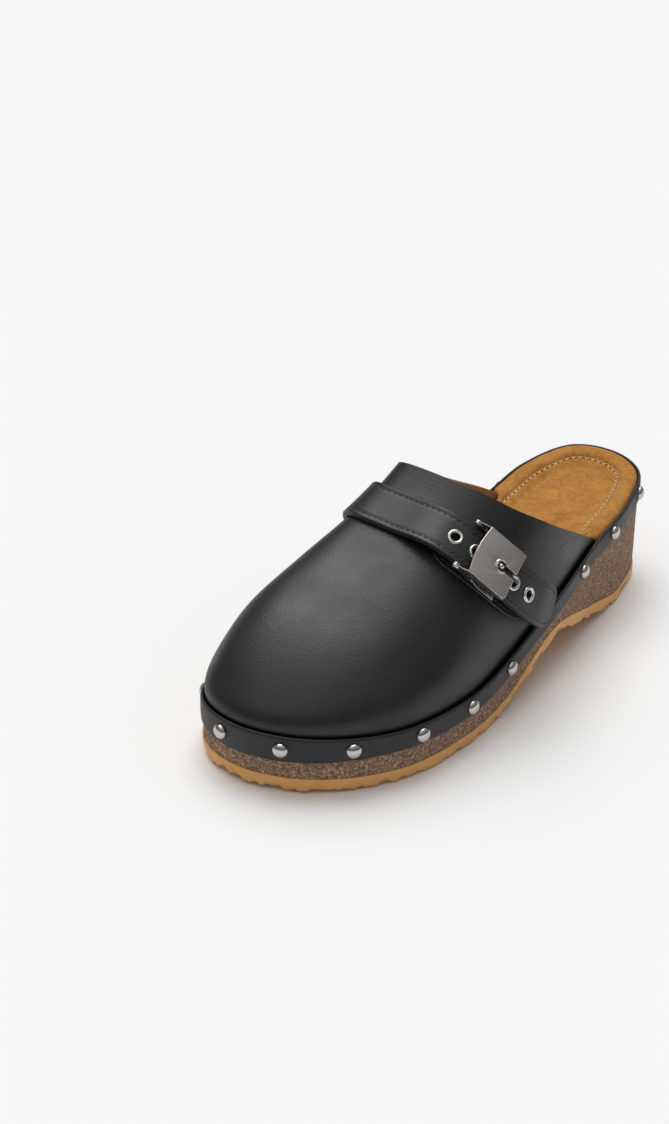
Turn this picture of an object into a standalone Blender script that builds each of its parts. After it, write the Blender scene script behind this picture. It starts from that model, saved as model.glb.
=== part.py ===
"""A studded clog mule for the left foot, as an assembly of its sole layers, upper, rand, strap and buckle.

Metres, +Z up, toe towards -Y, heel towards +Y, outer (buckle) side towards +X. The clog stands on z = 0
with the middle of its floor box at the origin. Every layer takes its edge from one plan outline, its
heights from the curves along the foot, and its place from the layer that it lies on.
"""

import math

import bmesh
import bpy
import numpy as np
from mathutils import Matrix, Vector

MM = 0.001


def mm(*points):
    """Points given in millimetres, as an array in metres."""
    return np.array(points, float) * MM


# ---- driving dimensions ----
LENGTH = 255 * MM  # sole, toe to heel: a 38 continental
BALL_WIDTH = 96 * MM  # platform at its widest
GAP = 0.3 * MM  # air left between pieces that touch

OUTSOLE_THICKNESS = 6 * MM
OUTSOLE_LEDGE = 0.4 * MM  # how far the crepe stands out past the cork
BOARD_THICKNESS = 1.0 * MM
FOAM_LEAST = 1.0 * MM
SUEDE_THICKNESS = 1.0 * MM
RAND_THICKNESS = 1.5 * MM
RAND_PROUD = 0.8 * MM  # how far the rand stands out past the cork
RAND_GROOVE = 1.2 * MM  # between rand and upper, where strap and chape are tucked in
WALL_INSET = 10.6 * MM  # inner face of the platform's raised wall, from the outline
LEATHER_THICKNESS = 1.8 * MM
PUFF_THICKNESS = 0.8 * MM
LINING_THICKNESS = 0.9 * MM
MARGIN_CLEARANCE = 1 * MM  # from the lower edge of a lasted piece to the platform's ledge
BASE_BELOW_RAND = 3 * MM  # where the upper starts to curve, below the rand's top

STUD_DIAMETER = 6.5 * MM
STUD_HEIGHT = 2.2 * MM
SHANK_DIAMETER = 1.6 * MM
SHANK_END_INSET = 9.4 * MM  # how deep the tacks reach, from the outline
OUTER_STUDS = 9  # places between the toe stud and the heel stud
OUTER_LEFT_OUT = 4  # the place that the strap covers, counted from the heel
INNER_STUDS = 8
OUTER_STUD_SHIFT = 8.3 * MM  # how far the middle of the outer row stands forward of even spacing
TOE_STUD_X = -16 * MM

STRAP_WIDTH = 19 * MM
STRAP_THICKNESS = 1.4 * MM
BACKING_THICKNESS = 0.8 * MM
SKIVED = 0.6 * MM  # leather pared down where it is tucked behind the rand
CHAPE_MARGIN = 2 * MM  # how far the chape shows past each edge of the strap
EYELET_PITCH = 10.5 * MM
EYELETS = 5
EYELET_HOLE = 3.7 * MM
EYELET_WALL = 0.45 * MM
EYELET_FLANGE = 6.8 * MM
FLANGE_THICKNESS = 0.45 * MM

METAL = 0.5 * MM  # sheet of the buckle's lugs and cheeks
PLATE_THICKNESS = 0.9 * MM
PLATE_LEFT = 11.7 * MM  # from the keyhole to the straight of the hinge edge
PLATE_RIGHT = 7.8 * MM
PLATE_BOW = 1.4 * MM  # how far the hinge edge bows out
HINGE_REACH = 16 * MM  # hinge axis from the keyhole
HINGE_DROP = 0.6 * MM  # hinge axis below the strap's face
HINGE_PIN = 1.2 * MM
KEYHOLE = 4.4 * MM
SLOT_WIDTH = 2.8 * MM
PRONG = 1.5 * MM
PLATE_CLEARANCE = FLANGE_THICKNESS + PRONG + 3 * GAP  # plate above the strap

# ---- the last: pattern points at 255 mm long and 96 mm wide ----
PATTERN = np.array([BALL_WIDTH / (96 * MM), LENGTH / (255 * MM)])
OUTLINE = PATTERN * mm(
    (-8.6, -127.4), (-32, -121), (-47, -91.3), (-46.6, -55.5), (-38.4, -15.6), (-31.7, 24.8),
    (-28.7, 65), (-29.3, 98), (-18.8, 122), (0.5, 127.5), (19.7, 119.7), (29.9, 95.5),
    (35.3, 61.6), (42.5, 22), (45.2, -15.3), (47.9, -50), (41.3, -87.6), (18.9, -116.7),
)


def stations(*points):
    """Stations (y, height) along the foot; y follows the length of the sole."""
    return mm(*points) * np.array([PATTERN[1], 1])


TREAD = stations((-127.5, 1.4), (-98, 0.5), (-72, 0), (-35, 0), (-20, 1.4), (20, 16.6), (60, 6.2),
                 (90, 0), (127.5, 0))
RAND_BOTTOM = stations((-127.5, 14.6), (-95, 14.9), (-60, 14.3), (-20, 17), (20, 28.4), (60, 35),
                       (95, 38), (127.5, 42))
RAND_HEIGHT = stations((-127.5, 12), (-95, 9.4), (-60, 8.8), (20, 8.3), (60, 8.6), (127.5, 10.9))
CREST_HEIGHT = stations((-127.5, 20.1), (-95, 33.7), (-60, 47.4), (-25, 60.6), (10, 73.4), (45, 82.2),
                        (75, 89.3))
CREST_SHIFT = -16.3 * MM * PATTERN[0]  # crest line from the middle, towards the inner side
ROUNDNESS_INNER, ROUNDNESS_OUTER = 2.7, 2.3  # superellipse powers of the upper's two sides
TOE_REACH = 46 * MM  # from each tip to the end of the middle line
HEEL_REACH = 30 * MM
TIP_SOFTNESS = 12 * MM
TOPLINE = (  # (quarter angle from the crest, y): the collar, negative on the inner side
    (-90, 74), (-67, 30.1), (-45, 2.1), (0, -8.2), (30, -3.9), (50, 7.1), (67, 26.1), (82, 51.1),
    (90, 66))
WAIST_FRONT, HEEL_SEAT = -10 * MM, 50 * MM  # the footbed's dish deepens between these
VAMP_END = max(TOPLINE[0][1], TOPLINE[-1][1]) * MM * PATTERN[1]
COUNTER_FRONT = VAMP_END + 3 * MM * PATTERN[1]  # from here the upper's margin gives way to the suede's
COUNTER_BACK = VAMP_END + 17 * MM * PATTERN[1]
COLLAR_PATCH = 8 * MM  # in front of the crest's end, where the rows start to fan out to the collar
SKIRT_RAMP = 9 * MM * PATTERN[1]  # over which the suede's edge drops behind the rand
RIM_INNER, DISH_EDGE = 6 * MM, 15 * MM  # distances from the outline between which the footbed dips

RING_LEVELS = 30  # points along each side of a layer

# Stack of the upper's side, inward from the outline.
RAND_INNER = RAND_THICKNESS - RAND_PROUD
UPPER_INSET = RAND_INNER + RAND_GROOVE
PUFF_DEPTH = LEATHER_THICKNESS + GAP
LINING_DEPTH = LEATHER_THICKNESS + GAP
LINING_DEPTH_TOE = PUFF_DEPTH + PUFF_THICKNESS + GAP
CORE_INSET = UPPER_INSET + LINING_DEPTH_TOE + LINING_THICKNESS + 2 * GAP
CORE_INSET_HEEL = RAND_INNER + GAP + SUEDE_THICKNESS + GAP

# Stack of the strap over the upper, outward.
CHAPE_TOP = GAP + STRAP_THICKNESS
BASE_OVER_CHAPE = 0.8 * MM * (STRAP_WIDTH / (19 * MM)) ** 2  # a wider base rides higher on the saddle
BASE_UNDER_STRAP = 1.6 * MM * (STRAP_WIDTH / (19 * MM)) ** 2
BASE_TOP_DROP = STRAP_THICKNESS + GAP + BACKING_THICKNESS + BASE_UNDER_STRAP  # from the strap's face
BACKING_LIFT = CHAPE_TOP + BASE_OVER_CHAPE + METAL + BASE_UNDER_STRAP
EYELET_OUTER = EYELET_HOLE + 2 * EYELET_WALL
STRAP_SWAY = GAP * PATTERN[1] ** 4  # how far the strap's path bends aside within the lugs
LUG_INNER = STRAP_WIDTH / 2 + GAP + STRAP_SWAY
CHEEK_INNER = LUG_INNER + METAL + GAP
PLATE_HALF = CHEEK_INNER + METAL


# ---- curves and surfaces of the last ----
def smoothstep(low, high, value):
    share = np.clip((value - low) / (high - low), 0, 1)
    return share * share * (3 - 2 * share)


def along(points, at):
    """Smooth curve through (position, value) points that never overshoots them."""
    xs, ys = np.array(points, float).T
    step = np.diff(xs)
    slope = np.diff(ys) / step
    tangent = np.concatenate([slope[:1], np.zeros(len(xs) - 2), slope[-1:]])
    same_way = slope[:-1] * slope[1:] > 0
    mean = (slope[:-1] * step[1:] + slope[1:] * step[:-1]) / (step[1:] + step[:-1])
    least = 3 * np.minimum(np.abs(slope[:-1]), np.abs(slope[1:]))
    tangent[1:-1] = np.where(same_way, np.sign(mean) * np.minimum(np.abs(mean), least), 0)
    at = np.clip(at, xs[0], xs[-1])
    i = np.clip(np.searchsorted(xs, at) - 1, 0, len(xs) - 2)
    t = (at - xs[i]) / step[i]
    return (
        (2 * t**3 - 3 * t**2 + 1) * ys[i]
        + (t**3 - 2 * t**2 + t) * step[i] * tangent[i]
        + (3 * t**2 - 2 * t**3) * ys[i + 1]
        + (t**3 - t**2) * step[i] * tangent[i + 1]
    )


def closed_curve(points, per_span=24):
    """Centripetal Catmull-Rom curve round the points."""
    spans = np.sqrt(np.linalg.norm(np.roll(points, -1, 0) - points, axis=1))
    t = np.linspace(0, 1, per_span, endpoint=False)[:, None]
    curve = []
    for i in range(len(points)):
        before, here, after, last = points[np.arange(i - 1, i + 3) % len(points)]
        a, b, c = spans[i - 1], spans[i], spans[(i + 1) % len(points)]
        leave = ((here - before) / a - (after - before) / (a + b) + (after - here) / b) * b
        arrive = ((after - here) / b - (last - here) / (b + c) + (last - after) / c) * b
        curve.append(
            (2 * t**3 - 3 * t**2 + 1) * here
            + (t**3 - 2 * t**2 + t) * leave
            + (3 * t**2 - 2 * t**3) * after
            + (t**3 - t**2) * arrive
        )
    return np.vstack(curve)


PLAN = closed_curve(OUTLINE)
TOE_Y, HEEL_Y = PLAN[:, 1].min(), PLAN[:, 1].max()


def outward(points):
    """Unit normals of a closed plan curve that runs clockwise from the toe along the inner side."""
    run = np.roll(points, -1, 0) - np.roll(points, 1, 0)
    normal = np.stack([-run[:, 1], run[:, 0]], 1)
    return normal / np.linalg.norm(normal, axis=1)[:, None]


def inset_plan(inset):
    """The outline moved inwards by a distance, or by a function of y."""
    distance = inset(PLAN[:, 1]) if callable(inset) else np.full(len(PLAN), inset)
    return PLAN - outward(PLAN) * distance[:, None]


def sides(plan):
    """Functions of y that give the x of the plan's inner and outer side."""
    toe = plan[:, 1].argmin()
    plan = np.roll(plan, -toe, 0)
    heel = plan[:, 1].argmax()
    inner = plan[: heel + 1]
    outer = np.vstack([plan[heel:], plan[:1]])[::-1]
    return (lambda y: np.interp(y, inner[:, 1], inner[:, 0]),
            lambda y: np.interp(y, outer[:, 1], outer[:, 0]))


def ring_plan(inset, levels=RING_LEVELS):
    """Points round the inset outline: up the inner side and down the outer side, at equal y in pairs."""
    plan = inset_plan(inset)
    inner, outer = sides(plan)
    low, high = plan[:, 1].min(), plan[:, 1].max()
    y = (low + high) / 2 - (high - low) / 2 * np.cos(np.linspace(0, np.pi, levels))
    return np.vstack([np.stack([inner(y), y], 1), np.stack([outer(y), y], 1)[-2:0:-1]])


def middle(y, shift=0.0):
    """Where the line across the foot at y meets the middle line, which stops short of both tips."""
    low, high = TOE_Y + TOE_REACH, HEEL_Y - HEEL_REACH
    held = low + TIP_SOFTNESS * np.logaddexp(0, (y - low) / TIP_SOFTNESS)
    held = high - TIP_SOFTNESS * np.logaddexp(0, (high - held) / TIP_SOFTNESS)
    inner, outer = PLAN_SIDES
    return np.stack([(inner(held) + outer(held)) / 2 + shift, held], -1)


PLAN_SIDES = sides(PLAN)
UPPER_SIDES = sides(inset_plan(UPPER_INSET))


def rand_top(y):
    return along(RAND_BOTTOM, y) + along(RAND_HEIGHT, y)


def upper_surface(foot, angle):
    """Outer face of the upper on the line from a foot point to the crest.

    angle is 0 at the crest and 90 degrees at the foot; past 90 the wall runs straight down.
    """
    crest = middle(foot[..., 1], CREST_SHIFT)
    turn = np.arctan2(foot[..., 0] - crest[..., 0], crest[..., 1] - foot[..., 1])
    outer_share = 0.5 + 0.5 * np.tanh(turn / 0.6)
    power = ROUNDNESS_INNER + (ROUNDNESS_OUTER - ROUNDNESS_INNER) * outer_share
    held = np.radians(np.clip(angle, 0, 90))
    radius = (np.cos(held) ** power + np.sin(held) ** power) ** (-1 / power)
    place = crest + (foot - crest) * (radius * np.sin(held))[..., None]
    rise = radius * np.cos(held) - np.radians(np.maximum(angle - 90, 0))
    height = rand_top(place[..., 1]) - BASE_BELOW_RAND + along(CREST_HEIGHT, place[..., 1]) * rise
    return np.concatenate([place, height[..., None]], -1)


def upper_at(y, angle):
    """Outer face of the upper at a foot y and a signed quarter angle, negative on the inner side."""
    inner, outer = UPPER_SIDES
    foot = np.stack([np.where(angle < 0, inner(y), outer(y)), y], -1)
    return upper_surface(foot, np.abs(angle))


# ---- Blender objects ----
def srgb(code):
    """Linear colour of an sRGB hex code."""
    values = [int(code[i : i + 2], 16) / 255 for i in (0, 2, 4)]
    return [v / 12.92 if v < 0.04045 else ((v + 0.055) / 1.055) ** 2.4 for v in values] + [1]


def material(name, code, roughness, metallic=0.0):
    made = bpy.data.materials.new(name)
    made.use_nodes = True
    shader = made.node_tree.nodes["Principled BSDF"]
    shader.inputs["Base Color"].default_value = srgb(code)
    shader.inputs["Roughness"].default_value = roughness
    shader.inputs["Metallic"].default_value = metallic
    return made


def collection(name):
    made = bpy.data.collections.new(name)
    bpy.context.scene.collection.children.link(made)
    return made


def object_of(name, mesh, look, where=None, matrix=None):
    made = bpy.data.objects.new(name, mesh)
    (where or PARTS).objects.link(made)
    made.parent = ROOT
    if matrix is not None:
        made.matrix_local = matrix
    if look and not mesh.materials:
        mesh.materials.append(look)
    mesh.shade_smooth()
    mesh.set_sharp_from_angle(angle=math.radians(35))
    return made


def mesh_of(bm, name):
    """Mesh of a closed bmesh, with its faces turned outwards."""
    bmesh.ops.remove_doubles(bm, verts=bm.verts, dist=0.005 * MM)
    bmesh.ops.recalc_face_normals(bm, faces=bm.faces)
    mesh = bpy.data.meshes.new(name)
    bm.to_mesh(mesh)
    bm.free()
    return mesh


def loft(name, rings, look, wrap=False):
    """Skin over closed rings with equal point counts. wrap joins the last ring to the first."""
    bm = bmesh.new()
    rows = [[bm.verts.new(point) for point in ring] for ring in rings]
    for row, following in zip(rows, rows[1:] + rows[:1] if wrap else rows[1:]):
        for i in range(len(row)):
            j = (i + 1) % len(row)
            bm.faces.new((row[i], row[j], following[j], following[i]))
    bmesh.ops.remove_doubles(bm, verts=bm.verts, dist=0.005 * MM)
    bmesh.ops.triangulate(bm, faces=bm.faces)
    return object_of(name, mesh_of(bm, name), look)


def ring(inset, height, share=1.0):
    """Ring of a sole layer. share runs from 1 at the inset outline to 0 on the middle line.

    height is a function of y and of the distance inwards from the outline.
    """
    edge = ring_plan(inset)
    centre = middle(edge[:, 1])
    place = centre + (edge - centre) * share
    start = inset(edge[:, 1]) if callable(inset) else inset
    inward = start + (1 - share) * np.linalg.norm(edge - centre, axis=1)
    return np.column_stack([place, height(place[:, 1], inward)])


def skin_rows(bm, grid):
    """Open sheet over rows of points."""
    rows = [[bm.verts.new(point) for point in row] for row in grid]
    for row, following in zip(rows, rows[1:]):
        for i in range(len(row) - 1):
            bm.faces.new((row[i], row[i + 1], following[i + 1], following[i]))


def cut(target, cutters):
    """Boolean difference with every object of a collection."""
    made = target.modifiers.new("holes", "BOOLEAN")
    made.operand_type = "COLLECTION"
    made.operation = "DIFFERENCE"
    made.solver = "EXACT"
    made.collection = cutters


def join(target, other):
    """Boolean union with a helper object, which stays out of the model."""
    hide(other)
    made = target.modifiers.new("join " + other.name, "BOOLEAN")
    made.operation = "UNION"
    made.solver = "EXACT"
    made.object = other


def hide(helper):
    helper.hide_render = True
    helper.display_type = "WIRE"


def turned(name, profile, look, matrix, steps, where=None):
    """Turned piece: an (x, z) profile run down its outer side and screwed about Z."""
    bm = bmesh.new()
    points = [bm.verts.new((x, 0, z)) for x, z in profile]
    for a, b in zip(points, points[1:]):
        bm.edges.new((a, b))
    mesh = bpy.data.meshes.new(name)
    bm.to_mesh(mesh)
    bm.free()
    made = object_of(name, mesh, look, where, matrix)
    screw = made.modifiers.new("turn", "SCREW")
    screw.steps = screw.render_steps = steps
    screw.use_merge_vertices = True
    screw.merge_threshold = 0.00001
    return made


def cylinder(name, radius, low, high, matrix, sides_count, where):
    """Closed cylinder along local Z from low to high."""
    bm = bmesh.new()
    bmesh.ops.create_cone(bm, cap_ends=True, segments=sides_count, radius1=radius, radius2=radius,
                          depth=high - low, matrix=Matrix.Translation((0, 0, (low + high) / 2)))
    made = object_of(name, mesh_of(bm, name), None, where, matrix)
    hide(made)
    return made


def extrusion(name, points, low, high, look, matrix=None, where=None):
    """Flat outline in local XY, extruded from low to high along local Z."""
    bm = bmesh.new()
    face = bm.faces.new([bm.verts.new((x, y, low)) for x, y in points])
    grown = bmesh.ops.extrude_face_region(bm, geom=[face])
    for item in grown["geom"]:
        if isinstance(item, bmesh.types.BMVert):
            item.co.z = high
    return object_of(name, mesh_of(bm, name), look, where, matrix)


def box(name, low, high, look=None, matrix=None, where=None):
    bm = bmesh.new()
    low, high = Vector(low), Vector(high)
    bmesh.ops.create_cube(bm, size=1, matrix=Matrix.LocRotScale((low + high) / 2, None, high - low))
    return object_of(name, mesh_of(bm, name), look, where, matrix)


def tube(name, points, radius, look, matrix=None, smooth_sides=3):
    """Round bar along a path, as a curve object with filled caps."""
    curve = bpy.data.curves.new(name, "CURVE")
    curve.dimensions = "3D"
    curve.bevel_depth = radius
    curve.bevel_resolution = smooth_sides
    curve.use_fill_caps = True
    spline = curve.splines.new("POLY")
    spline.points.add(len(points) - 1)
    for target, point in zip(spline.points, points):
        target.co = (*point, 1)
    curve.materials.append(look)
    made = bpy.data.objects.new(name, curve)
    PARTS.objects.link(made)
    made.parent = ROOT
    if matrix is not None:
        made.matrix_local = matrix
    return made


# ---- sole ----
def outsole_height(y, inward):
    return along(TREAD, y)


def cork_bottom(y, inward):
    return along(TREAD, y) + OUTSOLE_THICKNESS + GAP


def ledge(y, inward):
    return along(RAND_BOTTOM, y) - GAP


def heel_share(y):
    return smoothstep(WAIST_FRONT, HEEL_SEAT, y)


def sock_top(y, inward):
    """Face of the suede: nearly flat at the ball, a rim and a dish at the heel."""
    heel = heel_share(y)
    rim = rand_top(y) - 1.0 * MM + 2.2 * MM * heel
    return rim - (0.8 * MM + 3.7 * MM * heel) * smoothstep(RIM_INNER, DISH_EDGE, inward)


def sock_under(y, inward):
    return sock_top(y, inward) - SUEDE_THICKNESS


def wall_top(y, inward):
    return sock_under(y, inward) - 2 * GAP


def recess_floor(y, inward):
    """Floor of the platform's recess: the footbed's stack below the lowest part of the dish."""
    stack = SUEDE_THICKNESS + FOAM_LEAST + BOARD_THICKNESS + 3 * GAP
    return sock_top(y, DISH_EDGE) - stack


def core_inset(y):
    return CORE_INSET + (CORE_INSET_HEEL - CORE_INSET) * smoothstep(COUNTER_FRONT, COUNTER_BACK, y)


def sock_inset(y):
    heel = RAND_INNER + GAP
    return CORE_INSET + GAP + (heel - CORE_INSET - GAP) * smoothstep(COUNTER_FRONT, COUNTER_BACK, y)


def raised(height, by):
    return lambda y, inward: height(y, inward) + by


def make_sole(looks):
    edge = -OUTSOLE_LEDGE
    top = raised(outsole_height, OUTSOLE_THICKNESS)
    loft("outsole", [
        ring(edge + 1 * MM, outsole_height, 0), ring(edge + 1 * MM, outsole_height),
        ring(edge, raised(outsole_height, 1 * MM)), ring(edge, top), ring(edge, top, 0),
    ], looks["crepe"])
    cork = loft("cork_platform", [
        ring(0, cork_bottom, 0), ring(0, cork_bottom), ring(0, ledge), ring(core_inset, ledge),
        ring(core_inset, wall_top), ring(WALL_INSET, wall_top), ring(WALL_INSET, recess_floor),
        ring(WALL_INSET, recess_floor, 0),
    ], looks["cork"])
    bed = WALL_INSET + GAP
    board_low = raised(recess_floor, GAP)
    board_high = raised(recess_floor, GAP + BOARD_THICKNESS)
    loft("insole_board", [
        ring(bed, board_low, 0), ring(bed, board_low), ring(bed, board_high), ring(bed, board_high, 0),
    ], looks["board"])
    foam_low = raised(board_high, GAP)
    foam_high = raised(sock_under, -GAP)
    loft("footbed_foam", [
        ring(bed, foam_low, 0), ring(bed, foam_low), ring(bed, foam_high),
        ring((WALL_INSET + DISH_EDGE) / 2, foam_high), ring(DISH_EDGE, foam_high),
        ring(DISH_EDGE, foam_high, 0),
    ], looks["foam"])

    def skirt(y, inward):
        """Lower edge of the suede, which is lasted down behind the rand at the heel."""
        low = along(RAND_BOTTOM, y) + MARGIN_CLEARANCE
        lasted = smoothstep(COUNTER_BACK, COUNTER_BACK + SKIRT_RAMP, y)
        return (sock_under(y, inward) - GAP) * (1 - lasted) + low * lasted

    def skirt_inner(y):
        return sock_inset(y) + SUEDE_THICKNESS

    insets = (raised_inset(sock_inset, 2.5 * MM), WALL_INSET, (WALL_INSET + DISH_EDGE) / 2, DISH_EDGE)
    sock = loft("sock_lining",
                [ring(DISH_EDGE, sock_under, 0)]
                + [ring(inset, sock_under) for inset in insets[::-1]]
                + [ring(skirt_inner, sock_under), ring(skirt_inner, skirt), ring(sock_inset, skirt),
                   ring(sock_inset, raised(sock_top, -0.6 * MM)),
                   ring(raised_inset(sock_inset, 0.6 * MM), sock_top)]
                + [ring(inset, sock_top) for inset in insets]
                + [ring(DISH_EDGE, sock_top, 0)], looks["suede"])
    return cork, sock


def raised_inset(inset, by):
    return lambda y: inset(y) + by


def make_rand(look):
    def level(share):
        return lambda y, _: along(RAND_BOTTOM, y) + along(RAND_HEIGHT, y) * share

    profile = (
        (RAND_INNER, 0.0), (0.4 * MM - RAND_PROUD, 0.0), (-RAND_PROUD, 0.12), (-RAND_PROUD, 0.5),
        (-RAND_PROUD, 0.88), (0.5 * MM - RAND_PROUD, 1.0), (RAND_INNER, 1.0),
    )
    return loft("rand", [ring(inset, level(share)) for inset, share in profile], look, wrap=True)


# ---- upper ----
def upper_rows(cap_only=False, collar_steps=8, side_steps=7, toe_steps=7, up_steps=10):
    """Rows of points up the upper's face, from its foot to the crest or collar.

    The rows run from the inner corner round the toe to the outer corner. cap_only leaves those round
    the toe, without their lasting margin.
    """
    angles = np.linspace(90, 0, up_steps)
    patch_y = float(along(TOPLINE, 0)) * MM * PATTERN[1] - COLLAR_PATCH
    toe_end = TOE_Y + TOE_REACH
    reach = (toe_end - UPPER_TIP_Y) * (1 - np.cos(np.linspace(np.pi / 2, 0, toe_steps)))
    front = list(UPPER_TIP_Y + reach)
    shares = []
    if not cap_only:
        front = list(np.linspace(patch_y, toe_end, side_steps)) + front[1:]
        shares = list(np.linspace(1, 0, collar_steps)[:-1])

    def row(ys, side):
        """Row on one side (-1 inner, 1 outer) with a foot y for each angle."""
        points = upper_at(ys, np.maximum(angles, 1e-6) * side)
        margin = [points[0][0], points[0][1], along(RAND_BOTTOM, ys[0]) + MARGIN_CLEARANCE]
        return points[1:] if cap_only else np.vstack([margin, points])

    def half(side):
        collar = along(TOPLINE, angles * side) * MM * PATTERN[1]
        back = [row(patch_y + (collar - patch_y) * share, side) for share in shares]
        return back + [row(np.full(up_steps, y), side) for y in front]

    return half(-1) + half(1)[-2::-1]


UPPER_TIP_Y = inset_plan(UPPER_INSET)[:, 1].min()


def sheet(name, rows, depth, thickness, look):
    """Skin under the upper's outer face: depth below it, a number or a function of y, then thickness."""
    bm = bmesh.new()
    skin_rows(bm, rows)
    bmesh.ops.remove_doubles(bm, verts=bm.verts, dist=0.4 * MM)
    bmesh.ops.triangulate(bm, faces=bm.faces)
    bm.normal_update()
    highest = max(bm.faces, key=lambda face: abs(face.normal.z))
    if highest.normal.z < 0:
        bmesh.ops.reverse_faces(bm, faces=bm.faces)
        bm.normal_update()
    under = {}
    for vert in list(bm.verts):
        level = depth(vert.co.y) if callable(depth) else depth
        under[vert] = bm.verts.new(vert.co - vert.normal * (level + thickness))
        under[vert].normal = vert.normal
        vert.co -= vert.normal * level
    rim = [edge for edge in bm.edges if edge.is_boundary]
    for face in list(bm.faces):
        bm.faces.new([under[vert] for vert in reversed(face.verts)])
    for edge in rim:
        loop = edge.link_loops[0]
        a, b = loop.vert, loop.link_loop_next.vert
        bm.faces.new((b, a, under[a], under[b]))
    bmesh.ops.triangulate(bm, faces=bm.faces)
    return object_of(name, mesh_of(bm, name), look)


def make_upper(looks):
    rows = upper_rows()
    cap_end = TOE_Y + TOE_REACH

    def lining_depth(y):
        """The lining lies deeper where the toe puff is in front of it."""
        return float(LINING_DEPTH_TOE + (LINING_DEPTH - LINING_DEPTH_TOE)
                     * smoothstep(cap_end + 5 * MM, cap_end + 20 * MM, y))

    outer = sheet("vamp_outer", rows, 0, LEATHER_THICKNESS, looks["leather"])
    sheet("toe_puff", upper_rows(cap_only=True), PUFF_DEPTH, PUFF_THICKNESS, looks["board"])
    lining = sheet("vamp_lining", rows, lining_depth, LINING_THICKNESS, looks["lining"])
    return outer, lining


# ---- studs ----
def stud_places():
    """Plan position and outward normal of every stud, from the toe round the outer side and back."""
    face = inset_plan(-RAND_PROUD)
    normals = outward(PLAN)
    step = np.linalg.norm(np.roll(face, -1, 0) - face, axis=1)
    arc = np.concatenate([[0], np.cumsum(step)[:-1]])
    total = step.sum()
    toe = np.argmin(np.hypot(face[:, 0] - TOE_STUD_X, face[:, 1] - TOE_Y))
    heel = np.argmax(face[:, 1])
    inner_run = (arc[heel] - arc[toe]) % total
    outer_run = total - inner_run
    inner = [arc[toe] + inner_run * i / (INNER_STUDS + 1) for i in range(INNER_STUDS + 1)]
    outer = []
    for i in range(OUTER_STUDS + 1):
        share = i / (OUTER_STUDS + 1)
        outer.append(arc[heel] + outer_run * share + OUTER_STUD_SHIFT * math.sin(math.pi * share))
    del outer[OUTER_LEFT_OUT]
    for place in inner + outer:
        i = np.searchsorted(arc, place % total) % len(face)
        yield face[i], normals[i]


def make_studs(look, cutters):
    radius, shank = STUD_DIAMETER / 2, SHANK_DIAMETER / 2
    deep = SHANK_END_INSET + RAND_PROUD
    profile = [
        (0, GAP + STUD_HEIGHT), (0.5 * radius, GAP + 0.86 * STUD_HEIGHT),
        (0.85 * radius, GAP + 0.5 * STUD_HEIGHT), (radius, GAP + 0.1 * STUD_HEIGHT),
        (0.94 * radius, GAP), (shank, GAP), (shank, 1.5 * MM - deep), (0, -deep),
    ]
    for number, (place, normal) in enumerate(stud_places(), 1):
        y = place[1]
        height = along(RAND_BOTTOM, y) + along(RAND_HEIGHT, y) / 2
        out = Vector((*normal, 0)).normalized()
        side = out.cross(Vector((0, 0, 1)))
        facing = Matrix((side, Vector((0, 0, 1)), out)).transposed().to_4x4()
        matrix = Matrix.Translation((*place, height)) @ facing
        turned(f"stud_{number:02d}", profile, look, matrix, 10)
        cylinder(f"stud_hole_{number:02d}", shank + GAP, -deep - GAP, 2 * RAND_THICKNESS, matrix, 6, cutters)


# ---- strap ----
STRAP_Y = -29.1 * MM * PATTERN[1]  # where the strap's middle crosses the crest
STRAP_SWEEP_OUTER, STRAP_POWER_OUTER = 45 * MM * PATTERN[1], 2.81
STRAP_SWEEP_INNER, STRAP_POWER_INNER = 42.8 * MM * PATTERN[1], 2.2
KEYHOLE_ANGLE = 50.8
TIP_ANGLE = 85.0  # quarter angle of the strap's loose end, over the rand
TUCK_START, TUCK_END = 83.0, 87.0  # quarter angles between which a tucked end is pared down


def strap_middle(angle):
    """Foot y of the strap's middle line at a signed quarter angle."""
    share = np.abs(angle) / 90
    return STRAP_Y + np.where(angle > 0, STRAP_SWEEP_OUTER * share**STRAP_POWER_OUTER,
                              STRAP_SWEEP_INNER * share**STRAP_POWER_INNER)


def frame_at(angle):
    """Point, along, across and normal of the strap's middle line on the upper's face."""
    step = 0.05
    y = strap_middle(angle)
    point = upper_at(y, angle)
    ahead = upper_at(strap_middle(angle + step), angle + step)
    behind = upper_at(strap_middle(angle - step), angle - step)
    run = (ahead - behind) / np.linalg.norm(ahead - behind)
    turn = (upper_at(y, angle + step) - upper_at(y, angle - step)) / (2 * step)
    slide = (upper_at(y + 0.1 * MM, angle) - upper_at(y - 0.1 * MM, angle)) / (0.2 * MM)
    normal = np.cross(turn, slide)
    normal /= np.linalg.norm(normal)
    across = np.cross(normal, run)
    d_angle, d_y = np.linalg.lstsq(np.stack([turn, slide], 1), across, rcond=None)[0]
    return point, run, across, normal, (d_angle, d_y)


def surface_frame(y, angle):
    """Point and outward normal of the upper's face."""
    step = 0.05
    turn = upper_at(y, angle + step) - upper_at(y, angle - step)
    slide = upper_at(y + 0.1 * MM, angle) - upper_at(y - 0.1 * MM, angle)
    normal = np.cross(turn, slide)
    return upper_at(y, angle), normal / np.linalg.norm(normal)


def tucked_angle(y):
    """Quarter angle where a piece tucked behind the rand ends, clear of the platform's ledge."""
    return angle_below_base(y, along(RAND_HEIGHT, y) - BASE_BELOW_RAND - 2 * MARGIN_CLEARANCE)


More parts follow.
